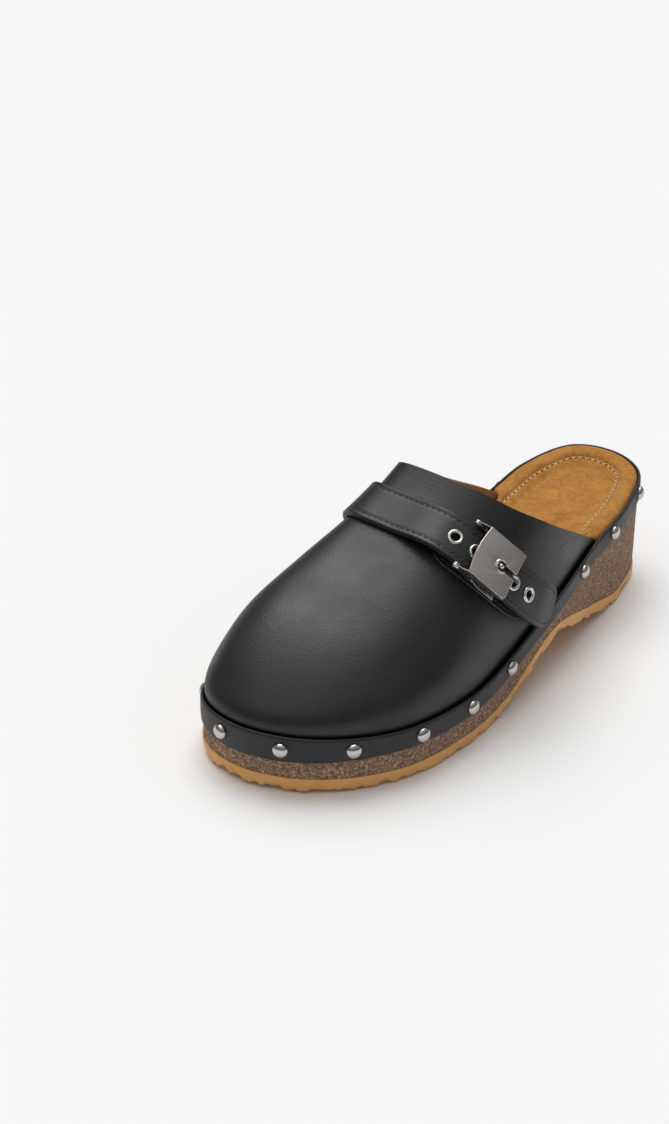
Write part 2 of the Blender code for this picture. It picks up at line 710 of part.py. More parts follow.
def band_point(angle, width, lift, tuck=None):
    """Point of a band that lies on the upper, width across from its middle line and lift above it.

    tuck is the signed quarter angle of an end behind the rand: the band is sheared towards it, so that
    its lower edge runs along the ledge.
    """
    _, _, _, _, (d_angle, d_y) = frame_at(angle)
    y, at = strap_middle(angle) + d_y * width, angle + d_angle * width
    if tuck:
        _, _, _, _, (end_d_angle, end_d_y) = frame_at(tuck)
        wanted = math.copysign(tucked_angle(float(strap_middle(tuck) + end_d_y * width)), tuck)
        near = smoothstep(abs(tuck) - 30, abs(tuck), math.copysign(1, tuck) * angle)
        at += (wanted - tuck - end_d_angle * width) * near
    point, normal = surface_frame(y, at)
    return point + normal * lift


def band(name, start, end, half_width, lift, thickness, look, count,
         tip_start=0.0, tip_end=0.0, tuck=None):
    """Strip along the strap's path. Lift and thickness are functions of the quarter angle.

    A tip of that many degrees narrows an end to a rounded point.
    """
    rings = []
    for angle in np.linspace(start, end, count):
        width = half_width
        for edge, reach in ((start, tip_start), (end, tip_end)):
            if reach and abs(angle - edge) < reach:
                share = 1 - abs(angle - edge) / reach
                width = half_width * (0.45 + 0.55 * math.sqrt(max(0.0, 1 - share**2)))
        low, high = lift(angle), lift(angle) + thickness(angle)
        across = (-1.0, -0.5, 0.0, 0.5, 1.0)
        under = [band_point(angle, width * w, low, tuck) for w in across]
        over = [band_point(angle, width * w, high, tuck) for w in across[::-1]]
        rings.append(under + over)
    bm = bmesh.new()
    rows = [[bm.verts.new(point) for point in points] for points in rings]
    for row, following in zip(rows, rows[1:]):
        for i in range(len(row)):
            j = (i + 1) % len(row)
            bm.faces.new((row[i], row[j], following[j], following[i]))
    for row in (rows[0], rows[-1]):
        for i in range(4):
            bm.faces.new((row[i], row[i + 1], row[-2 - i], row[-1 - i]))
    bmesh.ops.triangulate(bm, faces=bm.faces)
    return object_of(name, mesh_of(bm, name), look)


def backing_lift(angle):
    """The strap rises from the upper to pass over the chape and the buckle's base."""
    over_rand = RAND_GROOVE + RAND_THICKNESS + GAP + 0.2 * MM
    up = GAP + (BACKING_LIFT - GAP) * smoothstep(8, 30, angle)
    return up + (over_rand - BACKING_LIFT) * smoothstep(74, 86, angle)


def strap_lift(angle):
    """The strap lies on its backing, and drops behind the rand at the inner side."""
    lying = backing_lift(angle) + BACKING_THICKNESS + GAP
    return GAP + (lying - GAP) * (1 - smoothstep(TUCK_START, TUCK_END, -angle))


def pared(full, sign):
    return lambda angle: full + (SKIVED - full) * smoothstep(TUCK_START, TUCK_END, sign * angle)


def angle_below_base(y, drop):
    """Quarter angle of the point this far below the base of the upper."""
    return 90 + math.degrees(drop / float(along(CREST_HEIGHT, y)))


def strap_matrix(distance):
    """Frame on the strap's face at a distance along it from the keyhole: X along, Y across, Z out."""
    def face(angle):
        point, _, _, normal, _ = frame_at(angle)
        return point + normal * (strap_lift(angle) + STRAP_THICKNESS)

    angle, left = KEYHOLE_ANGLE, abs(distance)
    step = math.copysign(0.25, distance)
    here = face(angle)
    while left > 0:
        after = face(angle + step)
        run = np.linalg.norm(after - here)
        share = min(1.0, left / run)
        angle += step * share
        left -= run
        here = after
    point, _, across, _, _ = frame_at(angle)
    run = face(angle + 0.25) - face(angle - 0.25)
    run /= np.linalg.norm(run)
    normal = np.cross(run, across)
    across = np.cross(normal, run)
    rotation = Matrix([Vector(run), Vector(across), Vector(normal)]).transposed().to_4x4()
    return Matrix.Translation(Vector(face(angle))) @ rotation


def make_strap(looks, eyelet_cutters):
    inner_end = -tucked_angle(float(strap_middle(-90.0)))
    tuck_end = tucked_angle(float(strap_middle(90.0)))
    half = STRAP_WIDTH / 2
    outer = band("strap_outer", inner_end, TIP_ANGLE, half, strap_lift, pared(STRAP_THICKNESS, -1),
                 looks["leather"], 34, tip_end=5, tuck=inner_end)
    backing = band("strap_lining", 0.5 - TUCK_START, TIP_ANGLE - 1.5, half, backing_lift,
                   lambda angle: BACKING_THICKNESS, looks["lining"], 30, tip_end=5, tuck=inner_end)
    band("chape", KEYHOLE_ANGLE - 22, tuck_end, STRAP_WIDTH / 2 + CHAPE_MARGIN, lambda angle: GAP,
         pared(STRAP_THICKNESS, 1), looks["leather"], 18, tip_start=8, tuck=tuck_end)
    for piece in (outer, backing):
        cut(piece, eyelet_cutters)
    return outer


def make_eyelets(look, cutters):
    hole, barrel, flange = EYELET_HOLE / 2, EYELET_OUTER / 2, EYELET_FLANGE / 2
    under = STRAP_THICKNESS + BACKING_THICKNESS + 2 * GAP / PATTERN[0]  # the strap bends more on a narrow last
    thin = FLANGE_THICKNESS
    profile = [
        (hole, GAP), (hole + 0.3 * MM, GAP + thin), (flange - 0.7 * MM, GAP + thin), (flange, GAP),
        (barrel, GAP), (barrel, -under), (barrel + 0.6 * MM, -under),
        (barrel + 0.6 * MM, -under - thin), (hole, -under - thin), (hole, GAP),
    ]
    for number in range(EYELETS):
        matrix = strap_matrix((number - EYELETS // 2) * EYELET_PITCH)
        turned(f"eyelet_{number + 1}", profile, look, matrix, 12)
        cylinder(f"eyelet_hole_{number + 1}", barrel + GAP, -5 * MM, 3 * MM, matrix, 12, cutters)


# ---- buckle ----
def arc_points(centre, radius, start, end, count):
    return [(centre[0] + radius * math.cos(a), centre[1] + radius * math.sin(a))
            for a in np.radians(np.linspace(start, end, count))]


def plate_outline():
    """The plate from above, with the keyhole and its slot open to the prong's end."""
    half = PLATE_HALF
    bow = [(-PLATE_LEFT - PLATE_BOW * math.cos(math.pi / 2 * t), -half * t) for t in np.linspace(-1, 1, 9)]
    slot = SLOT_WIDTH / 2
    lip = math.degrees(math.asin(slot / (KEYHOLE / 2)))
    keyhole = arc_points((0, 0), KEYHOLE / 2, -lip, lip - 360, 18)
    below, above = [(PLATE_RIGHT, -half), (PLATE_RIGHT, -slot)], [(PLATE_RIGHT, slot), (PLATE_RIGHT, half)]
    return bow + below + keyhole + above


def make_buckle(looks, helpers):
    home = strap_matrix(0.0)
    side_on = Matrix(((1, 0, 0, 0), (0, 0, -1, 0), (0, 1, 0, 0), (0, 0, 0, 1)))  # local XY to X and Z
    plate_low = PLATE_CLEARANCE
    plate_high = plate_low + PLATE_THICKNESS
    hinge = Vector((-HINGE_REACH, 0, -HINGE_DROP))
    pin, bore = HINGE_PIN / 2, HINGE_PIN / 2 + GAP
    ear = 1.7 * MM

    def flange(name, shape, inner, sign, look, where, matrix):
        """Upright sheet with an (x, z) outline, outside the strap's edge."""
        low, high = sorted((-sign * inner, -sign * (inner + METAL)))
        return extrusion(name, shape, low, high, look, matrix @ side_on, where)

    # Base: a flat plate under the strap, with lugs up to the hinge.
    base_high = -BASE_TOP_DROP
    base_low = base_high - METAL
    base = box("buckle_base", (-8 * MM, -LUG_INNER - METAL, base_low), (7 * MM, LUG_INNER + METAL, base_high),
               looks["gunmetal"], home)
    lug = ([(-8 * MM, base_low), (-2 * MM, base_low), (-2 * MM, base_high + 0.3 * MM)]
           + arc_points((hinge.x, hinge.z), ear, 60, 240, 9))
    # Plate: flat cover with cheeks down both sides to the hinge.
    plate = extrusion("buckle_plate", plate_outline(), plate_low, plate_high, looks["gunmetal"], home)
    cheek = ([(PLATE_RIGHT, plate_low - 1.2 * MM), (PLATE_RIGHT, plate_low + 0.4 * MM),
              (-PLATE_LEFT, plate_low + 0.4 * MM)]
             + arc_points((hinge.x, hinge.z), ear, 90, 300, 11))
    for sign, side in ((1, "rear"), (-1, "front")):
        join(base, flange(f"lug_{side}", lug, LUG_INNER, sign, None, helpers, home))
        join(plate, flange(f"cheek_{side}", cheek, CHEEK_INNER, sign, None, helpers, home))
        # Hinge pin: shank through lug and cheek, with a head on each side.
        inner_face = LUG_INNER - GAP
        across = home @ Matrix.Translation(hinge) @ Matrix.Rotation(math.radians(-90 * sign), 4, "X")
        outer_face = CHEEK_INNER + METAL + GAP
        profile = [(0, outer_face + 0.5 * MM), (0.7 * ear, outer_face + 0.4 * MM), (0.8 * ear, outer_face),
                   (pin, outer_face), (pin, inner_face), (0, inner_face)]
        turned(f"hinge_pin_{side}", profile, looks["nickel"], across, 12)
    hole = cylinder("hinge_hole", bore, -15 * MM, 15 * MM, home @ Matrix.Translation(hinge)
                    @ Matrix.Rotation(math.radians(90), 4, "X"), 14, helpers)
    bores = collection("clog_hinge_bores")
    bores.objects.link(hole)
    cut(base, bores)
    cut(plate, bores)

    # Prong: under the plate, along the slot and down into the next eyelet.
    tip = EYELET_PITCH
    prong_z = plate_low - GAP - PRONG / 2
    far = home.inverted() @ strap_matrix(EYELET_PITCH)
    down = far @ Vector((0, 0, -1.6 * MM))
    bend = far @ Vector((0, 0, 1.2 * MM))
    path = [(-7 * MM, 0, prong_z), (0, 0, prong_z), (0.45 * tip, 0, prong_z + 0.3 * MM),
            (0.75 * tip, 0, prong_z - 0.1 * MM), tuple(bend), tuple(down)]
    tube("buckle_prong", path, PRONG / 2, looks["nickel"], home, 2)
    post = [(0, plate_high + 0.5 * MM), (0.8 * MM, plate_high + 0.3 * MM), (1.2 * MM, plate_high - 0.3 * MM),
            (1.2 * MM, prong_z + PRONG / 2 + GAP), (0, prong_z + PRONG / 2 + GAP)]
    turned("buckle_post", post, looks["nickel"], home, 12)
    rim = arc_points((0, 0), KEYHOLE / 2 + 0.5 * MM, 42, 318, 16)
    tube("keyhole_rim", [(x, y, plate_high + GAP + 0.35 * MM) for x, y in rim], 0.35 * MM, looks["nickel"],
         home, 1)
    mark = bpy.data.objects.new("buckle_hinge_axis", None)
    PARTS.objects.link(mark)
    mark.parent = ROOT
    mark.matrix_local = home @ Matrix.Translation(hinge)


def stand_on_origin():
    """Moves the whole clog so that the middle of its floor box is at the origin."""
    bpy.context.view_layer.update()
    graph = bpy.context.evaluated_depsgraph_get()
    low, high = np.full(3, np.inf), np.full(3, -np.inf)
    for piece in PARTS.objects:
        if piece.type == "EMPTY":
            continue
        shape = piece.evaluated_get(graph)
        mesh = shape.to_mesh()
        points = np.array([shape.matrix_world @ vert.co for vert in mesh.vertices])
        shape.to_mesh_clear()
        low, high = np.minimum(low, points.min(0)), np.maximum(high, points.max(0))
    centre = (low + high) / 2
    ROOT.location = (-centre[0], -centre[1], -low[2])


def main():
    looks = {
        "crepe": material("gum crepe", "d6974a", 0.7),
        "cork": material("cork composition", "6b5040", 0.85),
        "board": material("fibre board", "b9a283", 0.9),
        "foam": material("footbed foam", "c9bfa8", 0.9),
        "suede": material("suede", "b98240", 0.95),
        "leather": material("smooth leather", "2a2a2d", 0.42),
        "lining": material("lining leather", "a88a63", 0.8),
        "gunmetal": material("gunmetal plate", "857c77", 0.35, 1.0),
        "nickel": material("polished nickel", "b8b4b0", 0.15, 1.0),
    }
    stud_cutters = collection("clog_stud_holes")
    eyelet_cutters = collection("clog_eyelet_holes")
    helpers = collection("clog_helpers")
    cork, sock = make_sole(looks)
    rand = make_rand(looks["leather"])
    outer, lining = make_upper(looks)
    make_studs(looks["nickel"], stud_cutters)
    for piece in (cork, sock, rand, outer, lining):
        cut(piece, stud_cutters)
    strap = make_strap(looks, eyelet_cutters)
    cut(strap, stud_cutters)
    make_eyelets(looks["nickel"], eyelet_cutters)
    make_buckle(looks, helpers)
    stand_on_origin()


for leftover in list(bpy.data.objects):
    bpy.data.objects.remove(leftover)
PARTS = collection("studded_clog")
ROOT = bpy.data.objects.new("clog", None)
PARTS.objects.link(ROOT)
main()
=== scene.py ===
"""Looks of the studded clog mule: its leathers, cork, crepe, suede, threads and metal.

Metres, +Z up, toe towards -Y, heel towards +Y, buckle side towards +X. The curves of the last are the same
as the solids', drawn finer. Every finished piece has its place in its mesh.
"""
import math

import bmesh
import bpy
import numpy as np
from mathutils import Matrix, Vector, noise


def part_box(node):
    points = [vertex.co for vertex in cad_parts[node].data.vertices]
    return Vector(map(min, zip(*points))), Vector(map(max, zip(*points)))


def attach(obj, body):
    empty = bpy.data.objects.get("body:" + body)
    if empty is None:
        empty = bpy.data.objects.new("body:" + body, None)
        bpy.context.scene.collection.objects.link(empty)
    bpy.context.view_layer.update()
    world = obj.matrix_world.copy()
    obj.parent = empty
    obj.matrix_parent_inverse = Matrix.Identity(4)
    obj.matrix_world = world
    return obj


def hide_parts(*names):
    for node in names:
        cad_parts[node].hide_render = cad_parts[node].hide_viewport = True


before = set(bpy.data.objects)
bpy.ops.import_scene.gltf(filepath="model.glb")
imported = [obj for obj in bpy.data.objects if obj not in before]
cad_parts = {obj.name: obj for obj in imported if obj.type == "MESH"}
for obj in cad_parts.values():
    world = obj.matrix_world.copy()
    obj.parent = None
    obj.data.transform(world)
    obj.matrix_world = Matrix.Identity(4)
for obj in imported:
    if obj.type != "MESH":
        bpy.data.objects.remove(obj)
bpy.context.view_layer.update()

MM = 0.001


def mm(*points):
    """Points given in millimetres, as an array in metres."""
    return np.array(points, float) * MM


# ---- sizes of the last and of the layers ----
OUTLINE = mm(
    (-8.6, -127.4), (-32, -121), (-47, -91.3), (-46.6, -55.5), (-38.4, -15.6), (-31.7, 24.8),
    (-28.7, 65), (-29.3, 98), (-18.8, 122), (0.5, 127.5), (19.7, 119.7), (29.9, 95.5),
    (35.3, 61.6), (42.5, 22), (45.2, -15.3), (47.9, -50), (41.3, -87.6), (18.9, -116.7),
)
TREAD = mm((-127.5, 1.4), (-98, 0.5), (-72, 0), (-35, 0), (-20, 1.4), (20, 16.6), (60, 6.2), (90, 0),
           (127.5, 0))
RAND_BOTTOM = mm((-127.5, 14.6), (-95, 14.9), (-60, 14.3), (-20, 17), (20, 28.4), (60, 35), (95, 38),
                 (127.5, 42))
RAND_HEIGHT = mm((-127.5, 12), (-95, 9.4), (-60, 8.8), (20, 8.3), (60, 8.6), (127.5, 10.9))
CREST_HEIGHT = mm((-127.5, 20.1), (-95, 33.7), (-60, 47.4), (-25, 60.6), (10, 73.4), (45, 82.2), (75, 89.3))
TOPLINE = ((-90, 74), (-67, 30.1), (-45, 2.1), (0, -8.2), (30, -3.9), (50, 7.1), (67, 26.1), (82, 51.1),
           (90, 66))
CREST_SHIFT = -16.3 * MM
ROUNDNESS_INNER, ROUNDNESS_OUTER = 2.7, 2.3
TOE_REACH, HEEL_REACH, TIP_SOFTNESS = 46 * MM, 30 * MM, 12 * MM
COLLAR_PATCH = 8 * MM  # in front of the crest's end, where the rows start to fan out to the collar

OUTSOLE_THICKNESS, OUTSOLE_LEDGE = 6 * MM, 0.4 * MM
TORN_DEPTH = 2.0 * MM  # of the crepe's ragged lower edge
CORK_UNDER_RAND = 0.5 * MM  # how far the cork block runs up behind the rand
RAND_PROUD, RAND_INNER, RAND_GROOVE = 0.8 * MM, 0.7 * MM, 1.2 * MM
UPPER_INSET = RAND_INNER + RAND_GROOVE
BASE_BELOW_RAND = 3 * MM
MARGIN = 1 * MM
LEATHER, LINING = 1.8 * MM, 0.9 * MM
LINING_DEPTH, LINING_DEPTH_TOE = 1.95 * MM, 3.2 * MM
PUFF_FADE = -76 * MM, -61 * MM  # foot y between which the toe's stiffener ends
BELLY, BELLY_ANGLE, BELLY_SPREAD = 1.4 * MM, 72, 13  # of the vamp, in quarter angle degrees
BELLY_FADE = -65 * MM, -35 * MM
RIM_INNER, DISH_EDGE = 6 * MM, 15 * MM
SEAM_INSET, SEAM_TOOTH = 9.6 * MM, 3.3 * MM  # whip-stitched seam: from the outline, and its scallops' pitch
SUEDE_ROLL, SUEDE_TUCKED = 2.6 * MM, 6.6 * MM  # radius of its edge, and its inset inside the lining
SUEDE_OPENS = -7 * MM, -1.5 * MM  # past the vamp's end, where the edge runs out to the rand
HEEL_LASTING = 76 * MM, 90 * MM  # foot y between which the edge goes down to the rand
GAP = 0.3 * MM

STUD_DIAMETER, STUD_HEIGHT = 6.5 * MM, 2.2 * MM
OUTER_STUDS, OUTER_LEFT_OUT, INNER_STUDS, TOE_STUD_X = 9, 4, 8, -16 * MM
OUTER_STUD_SHIFT = 8.3 * MM

STRAP_WIDTH, STRAP_THICKNESS, BACKING, CHAPE_WIDTH, SKIVED = 19 * MM, 1.4 * MM, 0.8 * MM, 23 * MM, 0.6 * MM
STRAP_Y, SWEEP_OUTER, POWER_OUTER = -29.1 * MM, 45 * MM, 2.81
SWEEP_INNER, POWER_INNER = 42.8 * MM, 2.2
KEYHOLE_ANGLE, TIP_ANGLE, TUCK_START, TUCK_END = 50.8, 85.0, 83.0, 87.0
BASE_OVER_CHAPE, BASE_UNDER_STRAP, METAL = 0.8 * MM, 1.6 * MM, 0.5 * MM
BACKING_LIFT = GAP + STRAP_THICKNESS + BASE_OVER_CHAPE + METAL + BASE_UNDER_STRAP
EYELETS, EYELET_PITCH, EYELET_HOLE, EYELET_FLANGE = 5, 10.5 * MM, 3.7 * MM, 6.8 * MM
THREAD_INSET = 2.3 * MM  # stitch lines, from a leather edge

PLATE_THICKNESS, PLATE_CLEARANCE = 0.9 * MM, 2.85 * MM
PLATE_LEFT, PLATE_RIGHT, PLATE_BOW = 11.7 * MM, 7.8 * MM, 1.4 * MM
HINGE_REACH, HINGE_DROP, EAR = 16 * MM, 0.6 * MM, 1.7 * MM
KEYHOLE, SLOT_WIDTH, PRONG = 4.4 * MM, 2.8 * MM, 1.5 * MM
LUG_INNER = STRAP_WIDTH / 2 + 2 * GAP
CHEEK_INNER = LUG_INNER + METAL + GAP
PLATE_HALF = CHEEK_INNER + METAL

FINE_LEVELS = 380  # points along each side of a finely modelled layer, about 0.8 mm apart
RING_LEVELS = 30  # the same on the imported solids


# ---- curves and surfaces of the last ----
def smoothstep(low, high, value):
    share = np.clip((value - low) / (high - low), 0, 1)
    return share * share * (3 - 2 * share)


def unit(vectors):
    return vectors / np.linalg.norm(vectors, axis=-1, keepdims=True)


def along(points, at):
    """Smooth curve through (position, value) points that never overshoots them."""
    xs, ys = np.array(points, float).T
    step = np.diff(xs)
    slope = np.diff(ys) / step
    tangent = np.concatenate([slope[:1], np.zeros(len(xs) - 2), slope[-1:]])
    same_way = slope[:-1] * slope[1:] > 0
    mean = (slope[:-1] * step[1:] + slope[1:] * step[:-1]) / (step[1:] + step[:-1])
    least = 3 * np.minimum(np.abs(slope[:-1]), np.abs(slope[1:]))
    tangent[1:-1] = np.where(same_way, np.sign(mean) * np.minimum(np.abs(mean), least), 0)
    at = np.clip(at, xs[0], xs[-1])
    i = np.clip(np.searchsorted(xs, at) - 1, 0, len(xs) - 2)
    t = (at - xs[i]) / step[i]
    return (
        (2 * t**3 - 3 * t**2 + 1) * ys[i]
        + (t**3 - 2 * t**2 + t) * step[i] * tangent[i]
        + (3 * t**2 - 2 * t**3) * ys[i + 1]
        + (t**3 - t**2) * step[i] * tangent[i + 1]
    )


def closed_curve(points, per_span=24):
    """Centripetal Catmull-Rom curve round the points."""
    spans = np.sqrt(np.linalg.norm(np.roll(points, -1, 0) - points, axis=1))
    t = np.linspace(0, 1, per_span, endpoint=False)[:, None]
    curve = []
    for i in range(len(points)):
        before, here, after, last = points[np.arange(i - 1, i + 3) % len(points)]
        a, b, c = spans[i - 1], spans[i], spans[(i + 1) % len(points)]
        leave = ((here - before) / a - (after - before) / (a + b) + (after - here) / b) * b
        arrive = ((after - here) / b - (last - here) / (b + c) + (last - after) / c) * b
        curve.append(
            (2 * t**3 - 3 * t**2 + 1) * here
            + (t**3 - 2 * t**2 + t) * leave
            + (3 * t**2 - 2 * t**3) * after
            + (t**3 - t**2) * arrive
        )
    return np.vstack(curve)


PLAN = closed_curve(OUTLINE)
TOE_Y, HEEL_Y = PLAN[:, 1].min(), PLAN[:, 1].max()


def outward(points):
    """Unit normals of a closed plan curve that runs clockwise from the toe along the inner side."""
    run = np.roll(points, -1, 0) - np.roll(points, 1, 0)
    return unit(np.stack([-run[:, 1], run[:, 0]], 1))


def inset_plan(inset):
    """The outline moved inwards by a distance, or by a function of plan points."""
    distance = inset(PLAN) if callable(inset) else np.full(len(PLAN), inset)
    return PLAN - outward(PLAN) * distance[:, None]


def sides(plan):
    """Functions of y that give the x of the plan's inner and outer side."""
    plan = np.roll(plan, -plan[:, 1].argmin(), 0)
    heel = plan[:, 1].argmax()
    inner = plan[: heel + 1]
    outer = np.vstack([plan[heel:], plan[:1]])[::-1]
    return (lambda y: np.interp(y, inner[:, 1], inner[:, 0]),
            lambda y: np.interp(y, outer[:, 1], outer[:, 0]))


PLAN_SIDES = sides(PLAN)
UPPER_SIDES = sides(inset_plan(UPPER_INSET))
UPPER_TIP_Y = inset_plan(UPPER_INSET)[:, 1].min()


def ring_plan(inset, levels):
    """Points round the inset outline: up the inner side and down the outer side, at equal y in pairs."""
    plan = inset_plan(inset)
    inner, outer = sides(plan)
    low, high = plan[:, 1].min(), plan[:, 1].max()
    y = (low + high) / 2 - (high - low) / 2 * np.cos(np.linspace(0, np.pi, levels))
    return np.vstack([np.stack([inner(y), y], 1), np.stack([outer(y), y], 1)[-2:0:-1]])


def middle(y, shift=0.0):
    """Where the line across the foot at y meets the middle line, which stops short of both tips."""
    low, high = TOE_Y + TOE_REACH, HEEL_Y - HEEL_REACH
    held = low + TIP_SOFTNESS * np.logaddexp(0, (y - low) / TIP_SOFTNESS)
    held = high - TIP_SOFTNESS * np.logaddexp(0, (high - held) / TIP_SOFTNESS)
    inner, outer = PLAN_SIDES
    return np.stack([(inner(held) + outer(held)) / 2 + shift, held], -1)


def ring(inset, height, share=1.0, levels=FINE_LEVELS):
    """Ring of a sole layer. share runs from 1 at the inset outline to 0 on the middle line."""
    edge = ring_plan(inset, levels)
    centre = middle(edge[:, 1])
    place = centre + (edge - centre) * share
    start = inset(edge) if callable(inset) else inset
    inward = start + (1 - share) * np.linalg.norm(edge - centre, axis=1)
    return np.column_stack([place, height(place[:, 1], inward)])


def rand_top(y):
    return along(RAND_BOTTOM, y) + along(RAND_HEIGHT, y)


def upper_at(y, angle):
    """Outer face of the upper at a foot y and a quarter angle: 0 crest, 90 foot, negative inner side."""
    inner, outer = UPPER_SIDES
    foot = np.stack([np.where(angle < 0, inner(y), outer(y)), y], -1)
    angle = np.abs(angle)
    crest = middle(foot[..., 1], CREST_SHIFT)
    turn = np.arctan2(foot[..., 0] - crest[..., 0], crest[..., 1] - foot[..., 1])
    outer_share = 0.5 + 0.5 * np.tanh(turn / 0.6)
    power = ROUNDNESS_INNER + (ROUNDNESS_OUTER - ROUNDNESS_INNER) * outer_share
    held = np.radians(np.clip(angle, 0, 90))
    radius = (np.cos(held) ** power + np.sin(held) ** power) ** (-1 / power)
    place = crest + (foot - crest) * (radius * np.sin(held))[..., None]
    rise = radius * np.cos(held) - np.radians(np.maximum(angle - 90, 0))
    height = rand_top(place[..., 1]) - BASE_BELOW_RAND + along(CREST_HEIGHT, place[..., 1]) * rise
    return np.concatenate([place, height[..., None]], -1)


def upper_frame(y, angle):
    """Point, outward normal and the two slopes of the upper's face."""
    step, slip = 0.05, 0.1 * MM
    turn = (upper_at(y, angle + step) - upper_at(y, angle - step)) / (2 * step)
    slide = (upper_at(y + slip, angle) - upper_at(y - slip, angle)) / (2 * slip)
    return upper_at(y, angle), unit(np.cross(turn, slide)), turn, slide


# Place of the pattern in the row frame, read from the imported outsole.
PATTERN_LOW = ring(-OUTSOLE_LEDGE, lambda y, inward: y * 0, levels=RING_LEVELS).min(0)
SHIFT = np.array([*(np.array(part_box("outsole")[0]) - PATTERN_LOW)[:2], 0.0])


# ---- meshes ----
def piece_of(name, mesh, look, smooth=True, edges=None):
    """Object at the origin for a mesh in row coordinates."""
    made = bpy.data.objects.new(name, mesh)
    bpy.context.scene.collection.objects.link(made)
    if look and not mesh.materials:
        mesh.materials.append(look)
    if smooth:
        mesh.shade_smooth()
    if edges:
        mesh.set_sharp_from_angle(angle=math.radians(edges))
    return made


def net(name, rows, look, wrap_across=False, wrap_along=False, caps=False, weld=0.0, edges=None, shift=SHIFT):
    """Quad mesh over rows of points, with both directions open or closed, and its normals out."""
    rows = np.asarray(rows) + shift
    count, across = rows.shape[:2]
    index = np.arange(count * across).reshape(count, across)
    if wrap_across:
        index = np.hstack([index, index[:, :1]])
    if wrap_along:
        index = np.vstack([index, index[:1]])
    quads = np.stack([index[:-1, :-1], index[:-1, 1:], index[1:, 1:], index[1:, :-1]], -1).reshape(-1, 4)
    faces = quads.tolist()
    if caps:
        faces += [index[0, :across][::-1].tolist(), index[-1, :across].tolist()]
    mesh = bpy.data.meshes.new(name)
    mesh.from_pydata(rows.reshape(-1, 3).tolist(), [], faces)
    tidy(mesh, weld)
    return piece_of(name, mesh, look, edges=edges)


def tidy(mesh, weld=0.0):
    """Merges points that meet and turns the faces outwards."""
    bm = bmesh.new()
    bm.from_mesh(mesh)
    bmesh.ops.remove_doubles(bm, verts=bm.verts, dist=max(weld, 1e-7))
    bmesh.ops.recalc_face_normals(bm, faces=bm.faces)
    bm.to_mesh(mesh)
    bm.free()


def thicken(piece, thickness, edge=0.0, segments=3):
    """Gives an open sheet its thickness inwards, with rounded rims."""
    wall = piece.modifiers.new("thickness", "SOLIDIFY")
    wall.thickness = thickness
    wall.offset = -1
    if edge:
        round_edges(piece, edge, segments, 50)


def round_edges(piece, width, segments=2, angle=35, look=-1):
    made = piece.modifiers.new("rounding", "BEVEL")
    made.width = width
    made.segments = segments
    made.limit_method = "ANGLE"
    made.angle_limit = math.radians(angle)
    made.material = look
    made.harden_normals = False


def turned(name, profile, look, matrix, steps=48, edges=40):
    """Turned piece: an (x, z) profile about the matrix's Z axis."""
    around = np.linspace(0, 2 * np.pi, steps, endpoint=False)
    rows = [[(x * np.cos(a), x * np.sin(a), z) for a in around] for x, z in profile]
    made = net(name, rows, look, wrap_across=True, edges=edges, shift=np.zeros(3), weld=1e-6)
    if matrix is not None:
        made.data.transform(matrix)
    return made


def extruded(name, points, low, high, looks, matrix, rounding=0.0):
    """Flat outline in local XY, extruded from low to high along local Z, with rounded edges."""
    count = len(points)
    verts = [(x, y, z) for z in (low, high) for x, y in points]
    faces = [tuple(range(count))[::-1], tuple(range(count, 2 * count))]
    faces += [(i, (i + 1) % count, count + (i + 1) % count, count + i) for i in range(count)]
    mesh = bpy.data.meshes.new(name)
    mesh.from_pydata(verts, [], faces)
    for look in looks:
        mesh.materials.append(look)
    tidy(mesh)
    mesh.transform(matrix)
    made = piece_of(name, mesh, None, edges=30)
    if rounding:
        round_edges(made, rounding, 3, 30, len(looks) - 1)
    return made


def bar(name, points, radius, look, matrix, sides=12):
    """Round bar with domed ends along a path in local coordinates."""
    points = np.array(points, float)
    run = unit(np.gradient(points, axis=0))
    side = unit(np.cross(run, [0, 1, 0.013]))
    lift = np.cross(side, run)
    around = np.linspace(0, 2 * np.pi, sides, endpoint=False)
    circle = np.cos(around)[:, None, None] * side + np.sin(around)[:, None, None] * lift
    rows = [points + circle[i] * radius for i in range(sides)]
    rows = np.swapaxes(np.array(rows), 0, 1)
    ends = []
    for end, sign in ((0, -1), (-1, 1)):
        dome = [points[end] + sign * run[end] * radius * math.sin(a) + circle[:, end] * radius * math.cos(a)
                for a in np.radians((35, 65, 89))]
        ends.append(dome[::-1] if sign < 0 else dome)
    rows = np.concatenate([ends[0], rows, ends[1]])
    made = net(name, rows, look, wrap_across=True, caps=True, shift=np.zeros(3))
    made.data.transform(matrix)
    return made


def joined(name, pieces):
    """One object from several, with their modifiers applied."""
    graph = bpy.context.evaluated_depsgraph_get()
    bm = bmesh.new()
    looks = []
    for piece in pieces:
        mesh = bpy.data.meshes.new_from_object(piece.evaluated_get(graph))
        places = []
        for look in mesh.materials:
            if look not in looks:
                looks.append(look)
            places.append(looks.index(look))
        first = len(bm.faces)
        bm.from_mesh(mesh)
        bm.faces.ensure_lookup_table()
        for face in bm.faces[first:]:
            face.material_index = places[face.material_index] if places else 0
        bpy.data.meshes.remove(mesh)
        bpy.data.objects.remove(piece)
    mesh = bpy.data.meshes.new(name)
    bm.to_mesh(mesh)
    bm.free()
    for look in looks:
        mesh.materials.append(look)
    return piece_of(name, mesh, None, edges=40)


def grain(points, size, seed=0.0):
    """Smooth noise between -1 and 1 at each point, with bumps of about that size."""
    offset = Vector((seed * 7.31, seed * 3.17, seed * 5.77))
    return np.array([noise.noise(Vector(p) / size + offset) for p in np.asarray(points).reshape(-1, 3)]
                    ).reshape(np.shape(points)[:-1])


